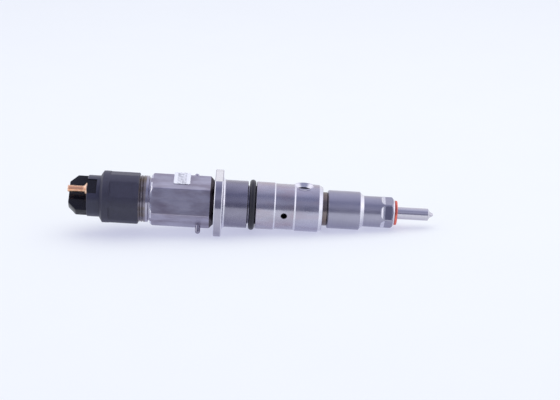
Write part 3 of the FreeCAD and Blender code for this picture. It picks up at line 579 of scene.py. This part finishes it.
# ---- the injector body -------------------------------------------------------------------------
def body_path():
    groove_end_x = GROOVE_X - GROOVE_WIDTH
    return [
        (NOZZLE_FACE_X, 4.2), (NOZZLE_FACE_X, NOZZLE_THREAD_R - 0.5),
        (NOZZLE_FACE_X - 0.5, NOZZLE_THREAD_R),
        (NECK_X, NOZZLE_THREAD_R), (NECK_X, NECK_R, 0.2), (INLET_SECTION_X, NECK_R, 0.3),
        (INLET_SECTION_X, INLET_SECTION_R - 1.1, 0.25), (INLET_SECTION_X - 2.2, INLET_SECTION_R, 0.6),
        (RETURN_SECTION_X + 0.8, INLET_SECTION_R, 0.35), (RETURN_SECTION_X, RETURN_SECTION_R, 0.35),
        (BARREL_X + 0.6, RETURN_SECTION_R, 0.35), (BARREL_X, BARREL_R, 0.35),
        (GROOVE_X + 0.3, BARREL_R, 0.2), (GROOVE_X, BARREL_R - 0.3, 0.12), (GROOVE_X, GROOVE_R, 0.3),
        (groove_end_x, GROOVE_R, 0.3), (groove_end_x, BARREL_R - 0.3, 0.12),
        (groove_end_x - 0.3, BARREL_R, 0.2), (COLLAR_X + 6, BARREL_R, 0),
        (COLLAR_X, BARREL_R, COLLAR_FILLET),
        (COLLAR_X, COLLAR_R - 0.5, 0.2), (COLLAR_X - 0.5, COLLAR_R, 0.2),
        (HEAD_X + 0.5, COLLAR_R, 0.2), (HEAD_X, COLLAR_R - 0.5, 0.2), (HEAD_X, CLAMP_LAND_R, 0.04),
        (HEAD_X + CLAMP_LAND_STEP, CLAMP_LAND_R, 0.04), (HEAD_X + CLAMP_LAND_STEP, HEAD_ROOT_R, 0.3),
        (HEAD_X, HEAD_ROOT_R, 0.05), (HEAD_X - 2.6, HEAD_R, 0.4), (HEAD_END_X + 1.5, HEAD_R, 0.3),
        (HEAD_END_X, HEAD_R - 1.3, 0.2), (HEAD_END_X, CAP_THREAD_R - 1.0, 0.2),
        (HEAD_END_X - 0.9, CAP_THREAD_R - 1.0, 0.2), (HEAD_END_X - 1.2, CAP_THREAD_R, 0.1),
        (BODY_END_X + 0.6, CAP_THREAD_R), (BODY_END_X, CAP_THREAD_R - 0.6),
        *BORES, (NOZZLE_FACE_X, 4.2)]


def body_form(x, r, theta):
    """Hexagon, collar flats and both threads of the body."""
    head = (x < HEAD_X + 0.05) & (x > HEAD_END_X - 0.2) & (r > 11.5)
    r = np.where(head, round_min(r, flats(theta, HEAD_FLAT, HEAD_CLOCK, 6, 0.35), 0.22), r)
    collar = (x <= COLLAR_X) & (x >= HEAD_X) & (r > CLAMP_LAND_R)
    r = np.where(collar, round_min(r, flats(theta, COLLAR_FLAT, INLET_CLOCK, 2, 0.3), 0.25), r)
    outside = (x < THREAD_START_X) & (x > BODY_END_X) & (r > 12)
    groove = helix_cut(x, theta, THREAD_START_X, BODY_END_X + 0.4, CAP_THREAD_PITCH, CAP_THREAD_DEPTH)
    r = np.where(outside, r - groove, r)
    outside = (x < NOZZLE_FACE_X - 0.4) & (x > NECK_X + 0.2) & (r > 8)
    groove = helix_cut(x, theta, NOZZLE_FACE_X - 0.4, NECK_X + 0.5, 1.0, 0.5)
    return np.where(outside, r - groove, r)


def build_body(looks):
    path = refine(soften(body_path()), [
        (HEAD_X, HEAD_X - 4.0, 0.14), (HEAD_END_X + 2.4, HEAD_END_X, 0.12),
        (HEAD_END_X, BODY_END_X, 0.12), (COLLAR_X, HEAD_X, 0.2),
        (NOZZLE_FACE_X, NECK_X, 0.16), (HEAD_X - 4.0, HEAD_END_X + 2.4, 3.0)])
    corners = [HEAD_CLOCK + 30 + 60 * k for k in range(6)]
    spread = math.degrees(math.acos(COLLAR_FLAT / COLLAR_R))
    collar_corners = [INLET_CLOCK + s * spread + t for s in (-1, 1) for t in (0, 180)]
    body = spin("injector_body_skin", path, dial(300, corners + collar_corners), True, body_form)

    boss = spoke(INLET_X, INLET_CLOCK, soften([
        (9.0, 0), (9.0, INLET_BOSS_R), (INLET_BOSS_TOP, INLET_BOSS_R, 0.35),
        (INLET_BOSS_TOP, 0)]), 96)
    combine(body, boss, "UNION")
    # painted_shade_top is where painted shade starts on the inlet cone; the ring there splits its faces
    # for painting
    floor, painted_shade_top = (INLET_BOSS_TOP - (INLET_MOUTH_R - r) / math.tan(math.radians(30))
                        for r in (INLET_HOLE_R, INLET_SHADE_R))
    cone = spoke(INLET_X, INLET_CLOCK, [
        (FEED_OFFSET - 0.6, 0), (FEED_OFFSET - 0.6, INLET_HOLE_R), (floor, INLET_HOLE_R),
        (painted_shade_top, INLET_SHADE_R),
        (INLET_BOSS_TOP - 0.12, INLET_MOUTH_R - 0.12 * 0.577),
        (INLET_BOSS_TOP + 0.3, INLET_MOUTH_R + 0.4), (INLET_BOSS_TOP + 0.3, 0)], 96)
    leak_port = spoke(RETURN_X, RETURN_CLOCK, [
        (LEAK_OFFSET - 0.5, 0), (LEAK_OFFSET - 0.5, RETURN_R), (RETURN_SECTION_R - 0.25, RETURN_R),
        (RETURN_SECTION_R + 0.25, RETURN_R + 0.35), (15.0, RETURN_R + 0.35), (15.0, 0)])
    pin_holes = [spoke(pin["x"], pin["clock"], [
        (pin["root"], 0), (pin["root"], PIN_R), (20.0, PIN_R), (20.0, 0)], 32)
        for pin in (LONG_PIN, REAR_PIN)]
    feed = drill(NOZZLE_FACE_X + 1, -120.0, FEED_R, FEED_OFFSET, INLET_CLOCK)
    leak = drill(RETURN_X, -141.5, LEAK_R, LEAK_OFFSET, RETURN_CLOCK)
    cut(body, cone, leak_port, *pin_holes, feed, leak)
    # the bore look, a painted shade, is the base of every face that no zone below repaints
    finish_piece(body, "injector_body", looks["bore"])
    # edge is a painted highlight: each edge zone below paints light on a chamfer, a step, the collar's
    # fillet or edges, or the inlet mouth
    edge = looks["edge"]
    paint(body, [
        (NOZZLE_FACE_X, NECK_X, 8.0, FAR, looks["thread"]),
        # painted shade on the small cone at the neck
        (NECK_X, NECK_X - 1.2, 9.0, FAR, looks["cone"]),
        (NECK_X - 1.2, INLET_SECTION_X, 9.0, FAR, looks["relief"]),
        (INLET_SECTION_X, RETURN_SECTION_X + 0.4, 7.0, FAR, looks["inlet_section"]),
        (RETURN_SECTION_X + 0.4, GROOVE_X, 12.0, FAR, looks["return_section"]),
        (GROOVE_X, COLLAR_X + 0.6, 10.0, FAR, looks["barrel"]),
        (COLLAR_X + 0.6, HEAD_X, 11.0, FAR, looks["collar"]),
        # the collar's flats: ground steel with a painted highlight
        (COLLAR_X - 0.45, HEAD_X + 0.45, 15.6, COLLAR_R - 0.3, looks["collar_flat"]),
        # painted shade on the cone in the hollow between hexagon and collar
        (HEAD_X, HEAD_X - 2.4, 11.0, FAR, looks["cone"]),
        (HEAD_X - 2.4, HEAD_END_X, 11.5, FAR, looks["hexagon"]),
        (HEAD_END_X, BODY_END_X, 11.6, FAR, looks["thread"]),
        (HEAD_END_X, THREAD_START_X, 11.6, FAR, looks["collar"]),
        (INLET_SECTION_X - 0.9, INLET_SECTION_X - 2.2, INLET_SECTION_R - 1.2,
         INLET_SECTION_R - 0.06, edge),
        (RETURN_SECTION_X + 0.9, RETURN_SECTION_X - 0.1, 12.5, INLET_SECTION_R + 0.1, edge),
        (BARREL_X + 0.7, BARREL_X - 0.1, 12.5, BARREL_R + 0.1, edge),
        (COLLAR_X + 1.7, COLLAR_X + 0.3, BARREL_R + 0.03, BARREL_R + 3.0, edge),
        (COLLAR_X + 0.05, COLLAR_X - 0.55, COLLAR_R - 0.75, COLLAR_R - 0.04, edge),
        (HEAD_X + 0.55, HEAD_X - 0.05, COLLAR_R - 0.75, COLLAR_R - 0.04, edge),
        (HEAD_END_X + 0.9, HEAD_END_X, HEAD_FLAT + 0.15, FAR, edge)],
        # upright zones: painted highlight on the inlet mouth, painted shade down its hole
        [(INLET_X, INLET_MOUTH_R - 0.05, edge), (INLET_X, INLET_SHADE_R, looks["bore"])])


# ---- nuts, washer, nozzle and seals ------------------------------------------------------------
def build_nozzle_nut(looks):
    bore_r = NOZZLE_RELIEF_R + 0.3
    path = refine(soften([
        (NOSE_X, bore_r), (NOSE_X, NOSE_R - 1.7), (NOSE_X - 1.7, NOSE_R, 0.3),
        (NOSE_STEP_X, NOSE_R, 0.35),
        (SLEEVE_START_X + 0.15, SLEEVE_R - 0.35, 0.3), (SLEEVE_START_X - 0.2, SLEEVE_R, 0.25),
        (SLEEVE_END_X + 0.5, SLEEVE_R, 0.25), (SLEEVE_END_X, SLEEVE_R - 0.5, 0.12),
        (SLEEVE_END_X, 9.05), (-28.8, 9.05), (-28.8, NOZZLE_COLLAR_R + 0.1),
        (NOZZLE_SHOULDER_X, NOZZLE_COLLAR_R + 0.1), (NOZZLE_SHOULDER_X, bore_r),
        (NOSE_X, bore_r)]), [(NOSE_X, NOSE_FLATS_END_X - 3.5, 0.12)])

    def form(x, r, theta):
        beyond = np.maximum(NOSE_FLATS_END_X - x, 0)
        rise = NOSE_CUTTER_R - np.sqrt(np.maximum(NOSE_CUTTER_R ** 2 - beyond ** 2, 0))
        rise = np.where(beyond < NOSE_CUTTER_R, rise, 10.0)
        limit = flats(theta, NOSE_FLAT, NOSE_CLOCK, 6, 0.25) + rise
        return np.where(r > bore_r + 3.1, round_min(r, limit, 0.14), r)

    corners = [NOSE_CLOCK + 30 + 60 * k for k in range(6)]
    nut = spin("nozzle_nut_skin", path, dial(300, corners), True, form)
    finish_piece(nut, "nozzle_retaining_nut", looks["nut_steel"])
    paint(nut, [
        (NOSE_X - 1.8, NOSE_FLATS_END_X, 7.5, NOSE_R - 0.12, looks["nose_flat"]),
        # the edge zones are painted highlights: the flats' run-out crescents, the nose chamfer and the
        # nose step
        (NOSE_FLATS_END_X, NOSE_FLATS_END_X - 2.2, 7.5, NOSE_R - 0.10, looks["edge"]),
        (NOSE_X - 0.05, NOSE_X - 0.9, 7.2, NOSE_R - 0.1, looks["edge"]),
        (NOSE_STEP_X, SLEEVE_START_X + 0.1, NOSE_R + 0.08, SLEEVE_R - 0.05, looks["edge"])])


def build_solenoid_nut(looks):
    path = refine(soften([
        (CAP_NUT_X, CAP_THREAD_R + 0.05), (CAP_NUT_X, CAP_NUT_R - 0.5, 0.15),
        (CAP_NUT_X - 0.5, CAP_NUT_R, 0.2),
        (CAP_NUT_END_X + 1.5, CAP_NUT_R, 0.5), (CAP_NUT_END_X, CAP_NUT_R - 2.3, 0.3),
        (CAP_NUT_END_X, CAP_R + 0.1, 0.1), (CAP_NUT_SHOULDER_X, CAP_R + 0.1),
        (CAP_NUT_SHOULDER_X, CAP_THREAD_R + 0.05), (CAP_NUT_X, CAP_THREAD_R + 0.05)]),
        [(CAP_NUT_X, CAP_NUT_X - 1.2, 0.12),
         (CAP_NUT_FLATS_END_X + 0.6, CAP_NUT_FLATS_END_X - 0.6, 0.1)])

    def form(x, r, theta):
        limit = flats(theta, CAP_NUT_FLAT, CAP_NUT_CLOCK, 6, 0.3)
        past = np.clip((CAP_NUT_FLATS_END_X - x) / 0.25 + 0.5, 0, 1)
        limit = limit + 3.0 * past
        return np.where(r > CAP_THREAD_R + 0.2, round_min(r, limit, 0.2), r)

    spread = math.degrees(math.acos(CAP_NUT_FLAT / CAP_NUT_R))
    corners = [CAP_NUT_CLOCK + 60 * k + s * spread for k in range(6) for s in (-1, 1)]
    nut = spin("solenoid_nut_skin", path, dial(300, corners, 1.6, 6), True, form)
    finish_piece(nut, "solenoid_nut", looks["nut_black"])


def build_washer(looks):
    path = soften([
        (0.0, WASHER_LAND_R), (0.0, WASHER_R - 0.3, 0.2), (-0.3, WASHER_R, 0.2),
        (NOSE_X + 0.3, WASHER_R, 0.2), (NOSE_X, WASHER_R - 0.3, 0.2), (NOSE_X, WASHER_LAND_R),
        (0.0, WASHER_LAND_R)], 0.1)
    finish_piece(spin("washer_skin", path, dial(160), True), "combustion_washer",
                 looks["washer_copper"])


def build_nozzle(looks):
    """Nozzle body with its bored inside, conical seat, sac and spray holes."""
    sac_x = 15.4 + (NOZZLE_BORE_R - 0.5) / math.tan(math.radians(30))
    path = soften([
        (TIP_X, 0.0), (TIP_X - 0.1, 0.5, 0.3), (TIP_X - 0.35, 0.85, 0.3), (TIP_X - 0.75, 1.05, 0.3),
        (SHANK_END_X + 1.2, 1.55, 0.25), (SHANK_END_X + 0.95, 1.8, 0.15),
        (SHANK_END_X, SHANK_R - 0.2, 0.2),
        (SHANK_END_X - 0.2, SHANK_R, 0.15), (0.0, SHANK_R, 0.05), (0.0, WASHER_LAND_R, 0.05),
        (NOZZLE_SHOULDER_X + 1.0, WASHER_LAND_R), (NOZZLE_SHOULDER_X, NOZZLE_RELIEF_R),
        (NOZZLE_SHOULDER_X, NOZZLE_COLLAR_R - 1.0), (NOZZLE_SHOULDER_X - 1.0, NOZZLE_COLLAR_R),
        (NOZZLE_FACE_X, NOZZLE_COLLAR_R), (NOZZLE_FACE_X, 2.02), (-17.0, 2.02), (-15.5, 3.1),
        (-14.0, NOZZLE_BORE_R), (15.4, NOZZLE_BORE_R), (sac_x, 0.5, 0.05), (sac_x + 1.0, 0.5, 0.1),
        (sac_x + 1.35, 0.35, 0.1), (sac_x + 1.5, 0.0)], 0.08)
    nozzle = spin("nozzle_skin", path, dial(160))
    tilt = math.radians(72.5)
    for k in range(8):
        hole = plug([(0, 0), (0, 0.1), (3.0, 0.1), (3.0, 0)], 16)
        aim = spot(0, 1, 45 * k) * math.sin(tilt) + Vector((math.cos(tilt), 0, 0))
        turn = Vector((1, 0, 0)).rotation_difference(aim).to_matrix().to_4x4()
        hole.data.transform(Matrix.Translation(spot(sac_x + 0.8) * MM) @ turn)
        cut(nozzle, hole)
    finish_piece(nozzle, "nozzle_body", looks["nozzle_steel"])


def build_o_ring(looks):
    centre_x, centre_r = GROOVE_X - 0.45 * GROOVE_WIDTH, SEAL_INNER_R + SEAL_R
    path = [(centre_x + SEAL_R * math.cos(a), centre_r + SEAL_R * math.sin(a))
            for a in np.linspace(0, 2 * math.pi, 40, endpoint=False)]
    ring = spin("o_ring_skin", path, dial(200), True)
    finish_piece(ring, "barrel_o_ring", looks["seal_rubber"])


def build_pins(looks):
    for name, pin in (("locating_pin", LONG_PIN), ("rear_pin", REAR_PIN)):
        top = pin["end"] - PIN_R
        dome = [(top + PIN_R * math.sin(a), PIN_R * math.cos(a)) for a in np.linspace(0, 1.5, 9)]
        piece = spoke(pin["x"], pin["clock"], [
            (pin["root"], 0), (pin["root"], PIN_R - 0.1), (pin["root"] + 0.1, PIN_R),
            (top - 0.5, PIN_R), *dome, (pin["end"], 0)], 48)
        piece.name = name + "_skin"
        finish_piece(piece, name, looks["pin_steel"])


def build_tag(looks):
    """Thin flat tag with rounded corners, on the hexagon's upper flat."""
    clock = HEAD_CLOCK + 60
    mesh = bmesh.new()
    columns, rows = 25, 33
    half_l, half_w, corner = TAG_LENGTH / 2, TAG_WIDTH / 2, 0.6
    top, low = [], []
    for i in range(columns):
        for j in range(rows):
            u, v = 2 * i / (columns - 1) - 1, 2 * j / (rows - 1) - 1
            over = max(0.0, abs(v) * half_w - (half_w - corner))
            shrink = corner - math.sqrt(max(corner ** 2 - over ** 2, 0))
            x = TAG_X - half_l + u * (half_l - shrink)
            side = v * half_w + TAG_SHIFT
            for layer, height in ((top, HEAD_FLAT + TAG_T), (low, HEAD_FLAT + 0.01)):
                layer.append(mesh.verts.new(spot(x, height, clock, side) * MM))
    for i in range(columns - 1):
        for j in range(rows - 1):
            a, b = i * rows + j, (i + 1) * rows + j
            mesh.faces.new([top[a], top[b], top[b + 1], top[a + 1]])
            mesh.faces.new([low[a + 1], low[b + 1], low[b], low[a]])
    rim = ([(i, 0) for i in range(columns)] + [(columns - 1, j) for j in range(1, rows)]
           + [(i, rows - 1) for i in range(columns - 2, -1, -1)]
           + [(0, j) for j in range(rows - 2, 0, -1)])
    for (i, j), (k, l) in zip(rim, rim[1:] + rim[:1]):
        a, b = i * rows + j, k * rows + l
        mesh.faces.new([top[b], top[a], low[a], low[b]])
    bmesh.ops.recalc_face_normals(mesh, faces=mesh.faces)
    tag = to_object("id_tag_skin", mesh)
    finish_piece(tag, "id_tag", looks["tag"])


# ---- connector ---------------------------------------------------------------------------------
def build_cap(looks):
    path = soften([
        (HOUSING_TOP_X, 0), (HOUSING_TOP_X, HOUSING_R + 0.05),
        (CAP_NUT_SHOULDER_X - 0.1, HOUSING_R + 0.05),
        (CAP_NUT_SHOULDER_X - 0.1, CAP_R), (CAP_END_X + 0.4, CAP_R, 0.3), (CAP_END_X, CAP_R - 0.4, 0.3),
        (CAP_END_X, 0)])
    cap = spin("connector_cap_skin", path, dial(200))
    core_plug = plug([(CORE_TOP_X, 0), (CORE_TOP_X, CORE_R), (HOUSING_TOP_X - 0.5, CORE_R),
                      (HOUSING_TOP_X - 0.5, 0)], 96)
    combine(cap, core_plug, "UNION")
    corner_x, corner_h = WALL_END_X + WALL_CORNER, WALL_HALF_WIDTH - WALL_CORNER
    wall = block("wall", [
        (CAP_END_X + 0.8, -WALL_HALF_WIDTH), (corner_x, -WALL_HALF_WIDTH), (WALL_END_X, -corner_h),
        (WALL_END_X, corner_h), (corner_x, WALL_HALF_WIDTH), (CAP_END_X + 0.8, WALL_HALF_WIDTH)],
        CAP_CLOCK + 90, WALL_HALF_T, 0.3)
    for turn in (0, 180):
        clock = CAP_CLOCK + turn
        low, half = WALL_HALF_T - POCKET_DEPTH, POCKET_WIDTH / 2
        pocket = block("pocket", [(CAP_END_X, low), (WALL_END_X - 2, low), (WALL_END_X - 2, CAP_R),
                                  (CAP_END_X, CAP_R)], clock, half, 0.2)
        cut(wall, pocket)
    combine(cap, wall, "UNION")
    for turn in (0, 180):
        clock = CAP_CLOCK + turn
        notch = bar(CAP_END_X - 1, CAP_END_X + NOTCH_LENGTH, clock, CAP_R - NOTCH_DEPTH,
                    CAP_R + 1, POCKET_WIDTH / 2)
        hole = drill(CAP_END_X - 1, STUD_ROOT_X, STUD_ROOT_R + 0.02, STUD_OFFSET, clock)
        lead = drill(STUD_ROOT_X - 0.5, CORE_TOP_X + 1, LEAD_R, STUD_OFFSET, clock)
        cut(cap, notch, hole, lead)
    finish_piece(cap, "connector_cap", looks["cap_plastic"])
    paint(cap, [(CAP_END_X + 0.05, CORE_TOP_X, 11.0, FAR, looks["disc_plastic"])])


def build_studs(looks):
    path = refine(soften([
        (STUD_ROOT_X, 0), (STUD_ROOT_X, STUD_ROOT_R), (CAP_END_X, STUD_ROOT_R),
        (CAP_END_X, STUD_FOOT_R, 0.1), (CAP_END_X - 0.7, STUD_FOOT_R, 0.2),
        (CAP_END_X - 1.9, STUD_R, 0.15), (STUD_END_X + 0.3, STUD_R, 0.1),
        (STUD_END_X, STUD_R - 0.4, 0.1), (STUD_END_X, 0)], 0.08),
        [(CAP_END_X - 1.9, STUD_END_X, 0.06)])

    def form(x, r, theta):
        groove = helix_cut(x, theta, CAP_END_X - 2.0, STUD_END_X + 0.1, STUD_PITCH, 0.42)
        return np.where(x < CAP_END_X - 1.9, np.where(r > 1.2, r - groove, r), r)

    joined = bmesh.new()
    for turn in (0, 180):
        stud = spin("stud", path, dial(64), False, form)
        stud.data.transform(Matrix.Translation(spot(0, STUD_OFFSET, CAP_CLOCK + turn) * MM))
        joined.from_mesh(stud.data)
        bpy.data.objects.remove(stud)
    finish_piece(to_object("terminal_studs_skin", joined), "terminal_studs",
                 looks["terminal_copper"])


def build_springs(looks):
    """Springs as pieces of their own, copied from their CAD meshes and fixed to the injector."""
    for node, (joint, fixed_x, free_x, stroke) in SPRINGS.items():
        spring = bpy.data.objects.new(node + "_skin", frame["nodes"][node].data.copy())
        bpy.context.scene.collection.objects.link(spring)
        finish_piece(spring, node, looks["spring_steel"])
        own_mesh(spring)


def dress_cad_nodes(looks):
    """Each CAD node that is still shown gets its slot's procedural material."""
    for name, thing in frame["nodes"].items():
        if not thing.hide_render:
            thing.data.materials.clear()
            thing.data.materials.append(looks[SLOTS[name]])


# ---- studio ------------------------------------------------------------------------------------
REST_Z, REST_X, FLOOR_SLOPE = -16.5, -99.7, 0.075
FLOOR_TILT = math.atan(FLOOR_SLOPE)
FLOOR_UP = Vector((-math.sin(FLOOR_TILT), 0, math.cos(FLOOR_TILT)))
FLOOR_RIGHT = Vector((math.cos(FLOOR_TILT), 0, math.sin(FLOOR_TILT)))
CAMERA_ELEVATION, CAMERA_ROLL, CAMERA_DISTANCE, LENS = 19.0, -0.79, 1.0, 112.5
LOOK_AT_X, LOOK_AT_LIFT = -66.8, 3.6
FLOOR_COLOUR, FLOOR_GLOW, BACKDROP = (0.33, 0.345, 0.26), (0.47, 0.48, 0.64), (0.89, 0.93, 0.985)
LAMP_AT, LAMP_AIM, LAMP_SIZE, LAMP_POWER = (-0.08, 0.10, 0.95), (-0.08, 0, 0), (1.4, 1.2), 8.5
SIDE_SPAN, SIDE_LIGHT = (0.45, 0.85), (1.25, 1.25, 1.35)
STUDIO = [  # angle from the camera's side, over the top to the back, and its light
    (-180, (0.90, 0.90, 0.95)), (-90, (0.50, 0.50, 0.55)), (0, (0.23, 0.24, 0.34)),
    (19, (0.25, 0.26, 0.37)), (34, (0.42, 0.44, 0.58)), (50, (0.38, 0.40, 0.55)),
    (66, (0.32, 0.34, 0.50)), (83, (0.55, 0.57, 0.74)), (100, (0.70, 0.72, 0.88)),
    (124, (0.81, 0.83, 0.98)), (154, (0.88, 0.88, 0.93)), (180, (0.95, 0.95, 0.98))]


def axes_matrix(right, up, back, origin):
    turn = Matrix((right, up, back)).transposed()
    return Matrix.Translation(origin) @ turn.to_4x4()


def build_camera():
    tilt = math.radians(CAMERA_ELEVATION)
    back = Vector((0, -1, 0)) * math.cos(tilt) + FLOOR_UP * math.sin(tilt)
    right = Matrix.Rotation(math.radians(CAMERA_ROLL), 3, back) @ FLOOR_RIGHT
    up = back.cross(right)
    target = Vector((LOOK_AT_X, 0, 0)) * MM + up * LOOK_AT_LIFT * MM
    camera = bpy.data.objects.new("camera", bpy.data.cameras.new("camera"))
    camera.data.lens = LENS
    camera.matrix_world = axes_matrix(right, up, back, target + back * CAMERA_DISTANCE)
    bpy.context.scene.collection.objects.link(camera)
    bpy.context.scene.camera = camera


def build_floor():
    """Pale floor under the collar's lower flat. A little light of its own keeps its shadows pale."""
    look = Look("floor_look", specular_ior_level=0.0)
    grain = look.noise(0.02, SPECKLE, 2.0, 0.5)
    look.use("Base Color", look.mix(grain, FLOOR_COLOUR, shade(FLOOR_COLOUR, 1.03)))
    look.use("Roughness", 0.8)
    look.use("Emission Color", FLOOR_GLOW)
    look.use("Emission Strength", 1.0)
    mesh = bmesh.new()
    bmesh.ops.create_grid(mesh, x_segments=2, y_segments=2, size=4.0)
    floor = to_object("floor", mesh)
    floor.data.materials.append(look.material)
    below = Vector((REST_X, 0, REST_Z)) * MM
    floor.matrix_world = axes_matrix(FLOOR_RIGHT, Vector((0, 1, 0)), FLOOR_UP, below)


def build_lamp():
    """Broad soft lamp overhead, which lights the floor and isn't mirrored in the steel."""
    data = bpy.data.lights.new("overhead", "AREA")
    data.shape, data.size, data.size_y = "RECTANGLE", *LAMP_SIZE
    data.energy = LAMP_POWER
    lamp = bpy.data.objects.new("overhead", data)
    place = Vector(LAMP_AT)
    back = (place - Vector(LAMP_AIM)).normalized()
    right = Vector((1, 0, 0))
    lamp.matrix_world = axes_matrix(right, back.cross(right).normalized(), back, place)
    lamp.visible_glossy = False
    bpy.context.scene.collection.objects.link(lamp)


def build_world():
    """Pale backdrop for the camera, and a soft studio round the object for everything else.

    The studio is brightest overhead and behind, and darkest low down on the camera's side.
    """
    world = bpy.data.worlds.new("studio")
    bpy.context.scene.world = world
    world.use_nodes = True
    tree = world.node_tree
    tree.nodes.clear()

    def node(kind, **settings):
        made = tree.nodes.new("ShaderNode" + kind)
        for key, value in settings.items():
            setattr(made, key, value)
        return made

    coord = node("TexCoord")
    split = node("SeparateXYZ")
    tree.links.new(coord.outputs["Generated"], split.inputs[0])
    angle = node("Math", operation="ARCTAN2")
    flip = node("Math", operation="MULTIPLY")
    flip.inputs[1].default_value = -1
    tree.links.new(split.outputs["Y"], flip.inputs[0])
    tree.links.new(split.outputs["Z"], angle.inputs[0])
    tree.links.new(flip.outputs[0], angle.inputs[1])
    to_unit = node("MapRange")
    to_unit.inputs["From Min"].default_value = -math.pi
    to_unit.inputs["From Max"].default_value = math.pi
    tree.links.new(angle.outputs[0], to_unit.inputs["Value"])
    ramp = node("ValToRGB")
    tree.links.new(to_unit.outputs[0], ramp.inputs[0])
    elements = ramp.color_ramp.elements
    for degrees, colour in STUDIO:
        position = (degrees + 180) / 360
        if position in (0.0, 1.0):
            element = elements[0 if position == 0 else -1]
        else:
            element = elements.new(position)
        element.color = (*colour, 1)
    sideways = node("Math", operation="ABSOLUTE")
    tree.links.new(split.outputs["X"], sideways.inputs[0])
    side = node("MapRange", interpolation_type="SMOOTHSTEP")
    side.inputs["From Min"].default_value, side.inputs["From Max"].default_value = SIDE_SPAN
    tree.links.new(sideways.outputs[0], side.inputs["Value"])
    joined = node("Mix", data_type="RGBA")
    tree.links.new(side.outputs[0], joined.inputs[0])
    tree.links.new(ramp.outputs[0], joined.inputs[6])
    joined.inputs[7].default_value = (*SIDE_LIGHT, 1)
    studio = node("Background")
    tree.links.new(joined.outputs[2], studio.inputs["Color"])
    backdrop = node("Background")
    backdrop.inputs["Color"].default_value = (*BACKDROP, 1)
    rays = node("LightPath")
    mix = node("MixShader")
    tree.links.new(rays.outputs["Is Camera Ray"], mix.inputs[0])
    tree.links.new(studio.outputs[0], mix.inputs[1])
    tree.links.new(backdrop.outputs[0], mix.inputs[2])
    output = node("OutputWorld")
    tree.links.new(mix.outputs[0], output.inputs["Surface"])


def main():
    looks = make_looks()
    build_body(looks)
    build_nozzle_nut(looks)
    build_solenoid_nut(looks)
    build_washer(looks)
    build_nozzle(looks)
    build_o_ring(looks)
    build_pins(looks)
    build_tag(looks)
    build_cap(looks)
    build_studs(looks)
    build_springs(looks)
    dress_cad_nodes(looks)
    build_floor()
    build_camera()
    build_world()
    build_lamp()
    bpy.context.scene.view_settings.view_transform = "Standard"


main()
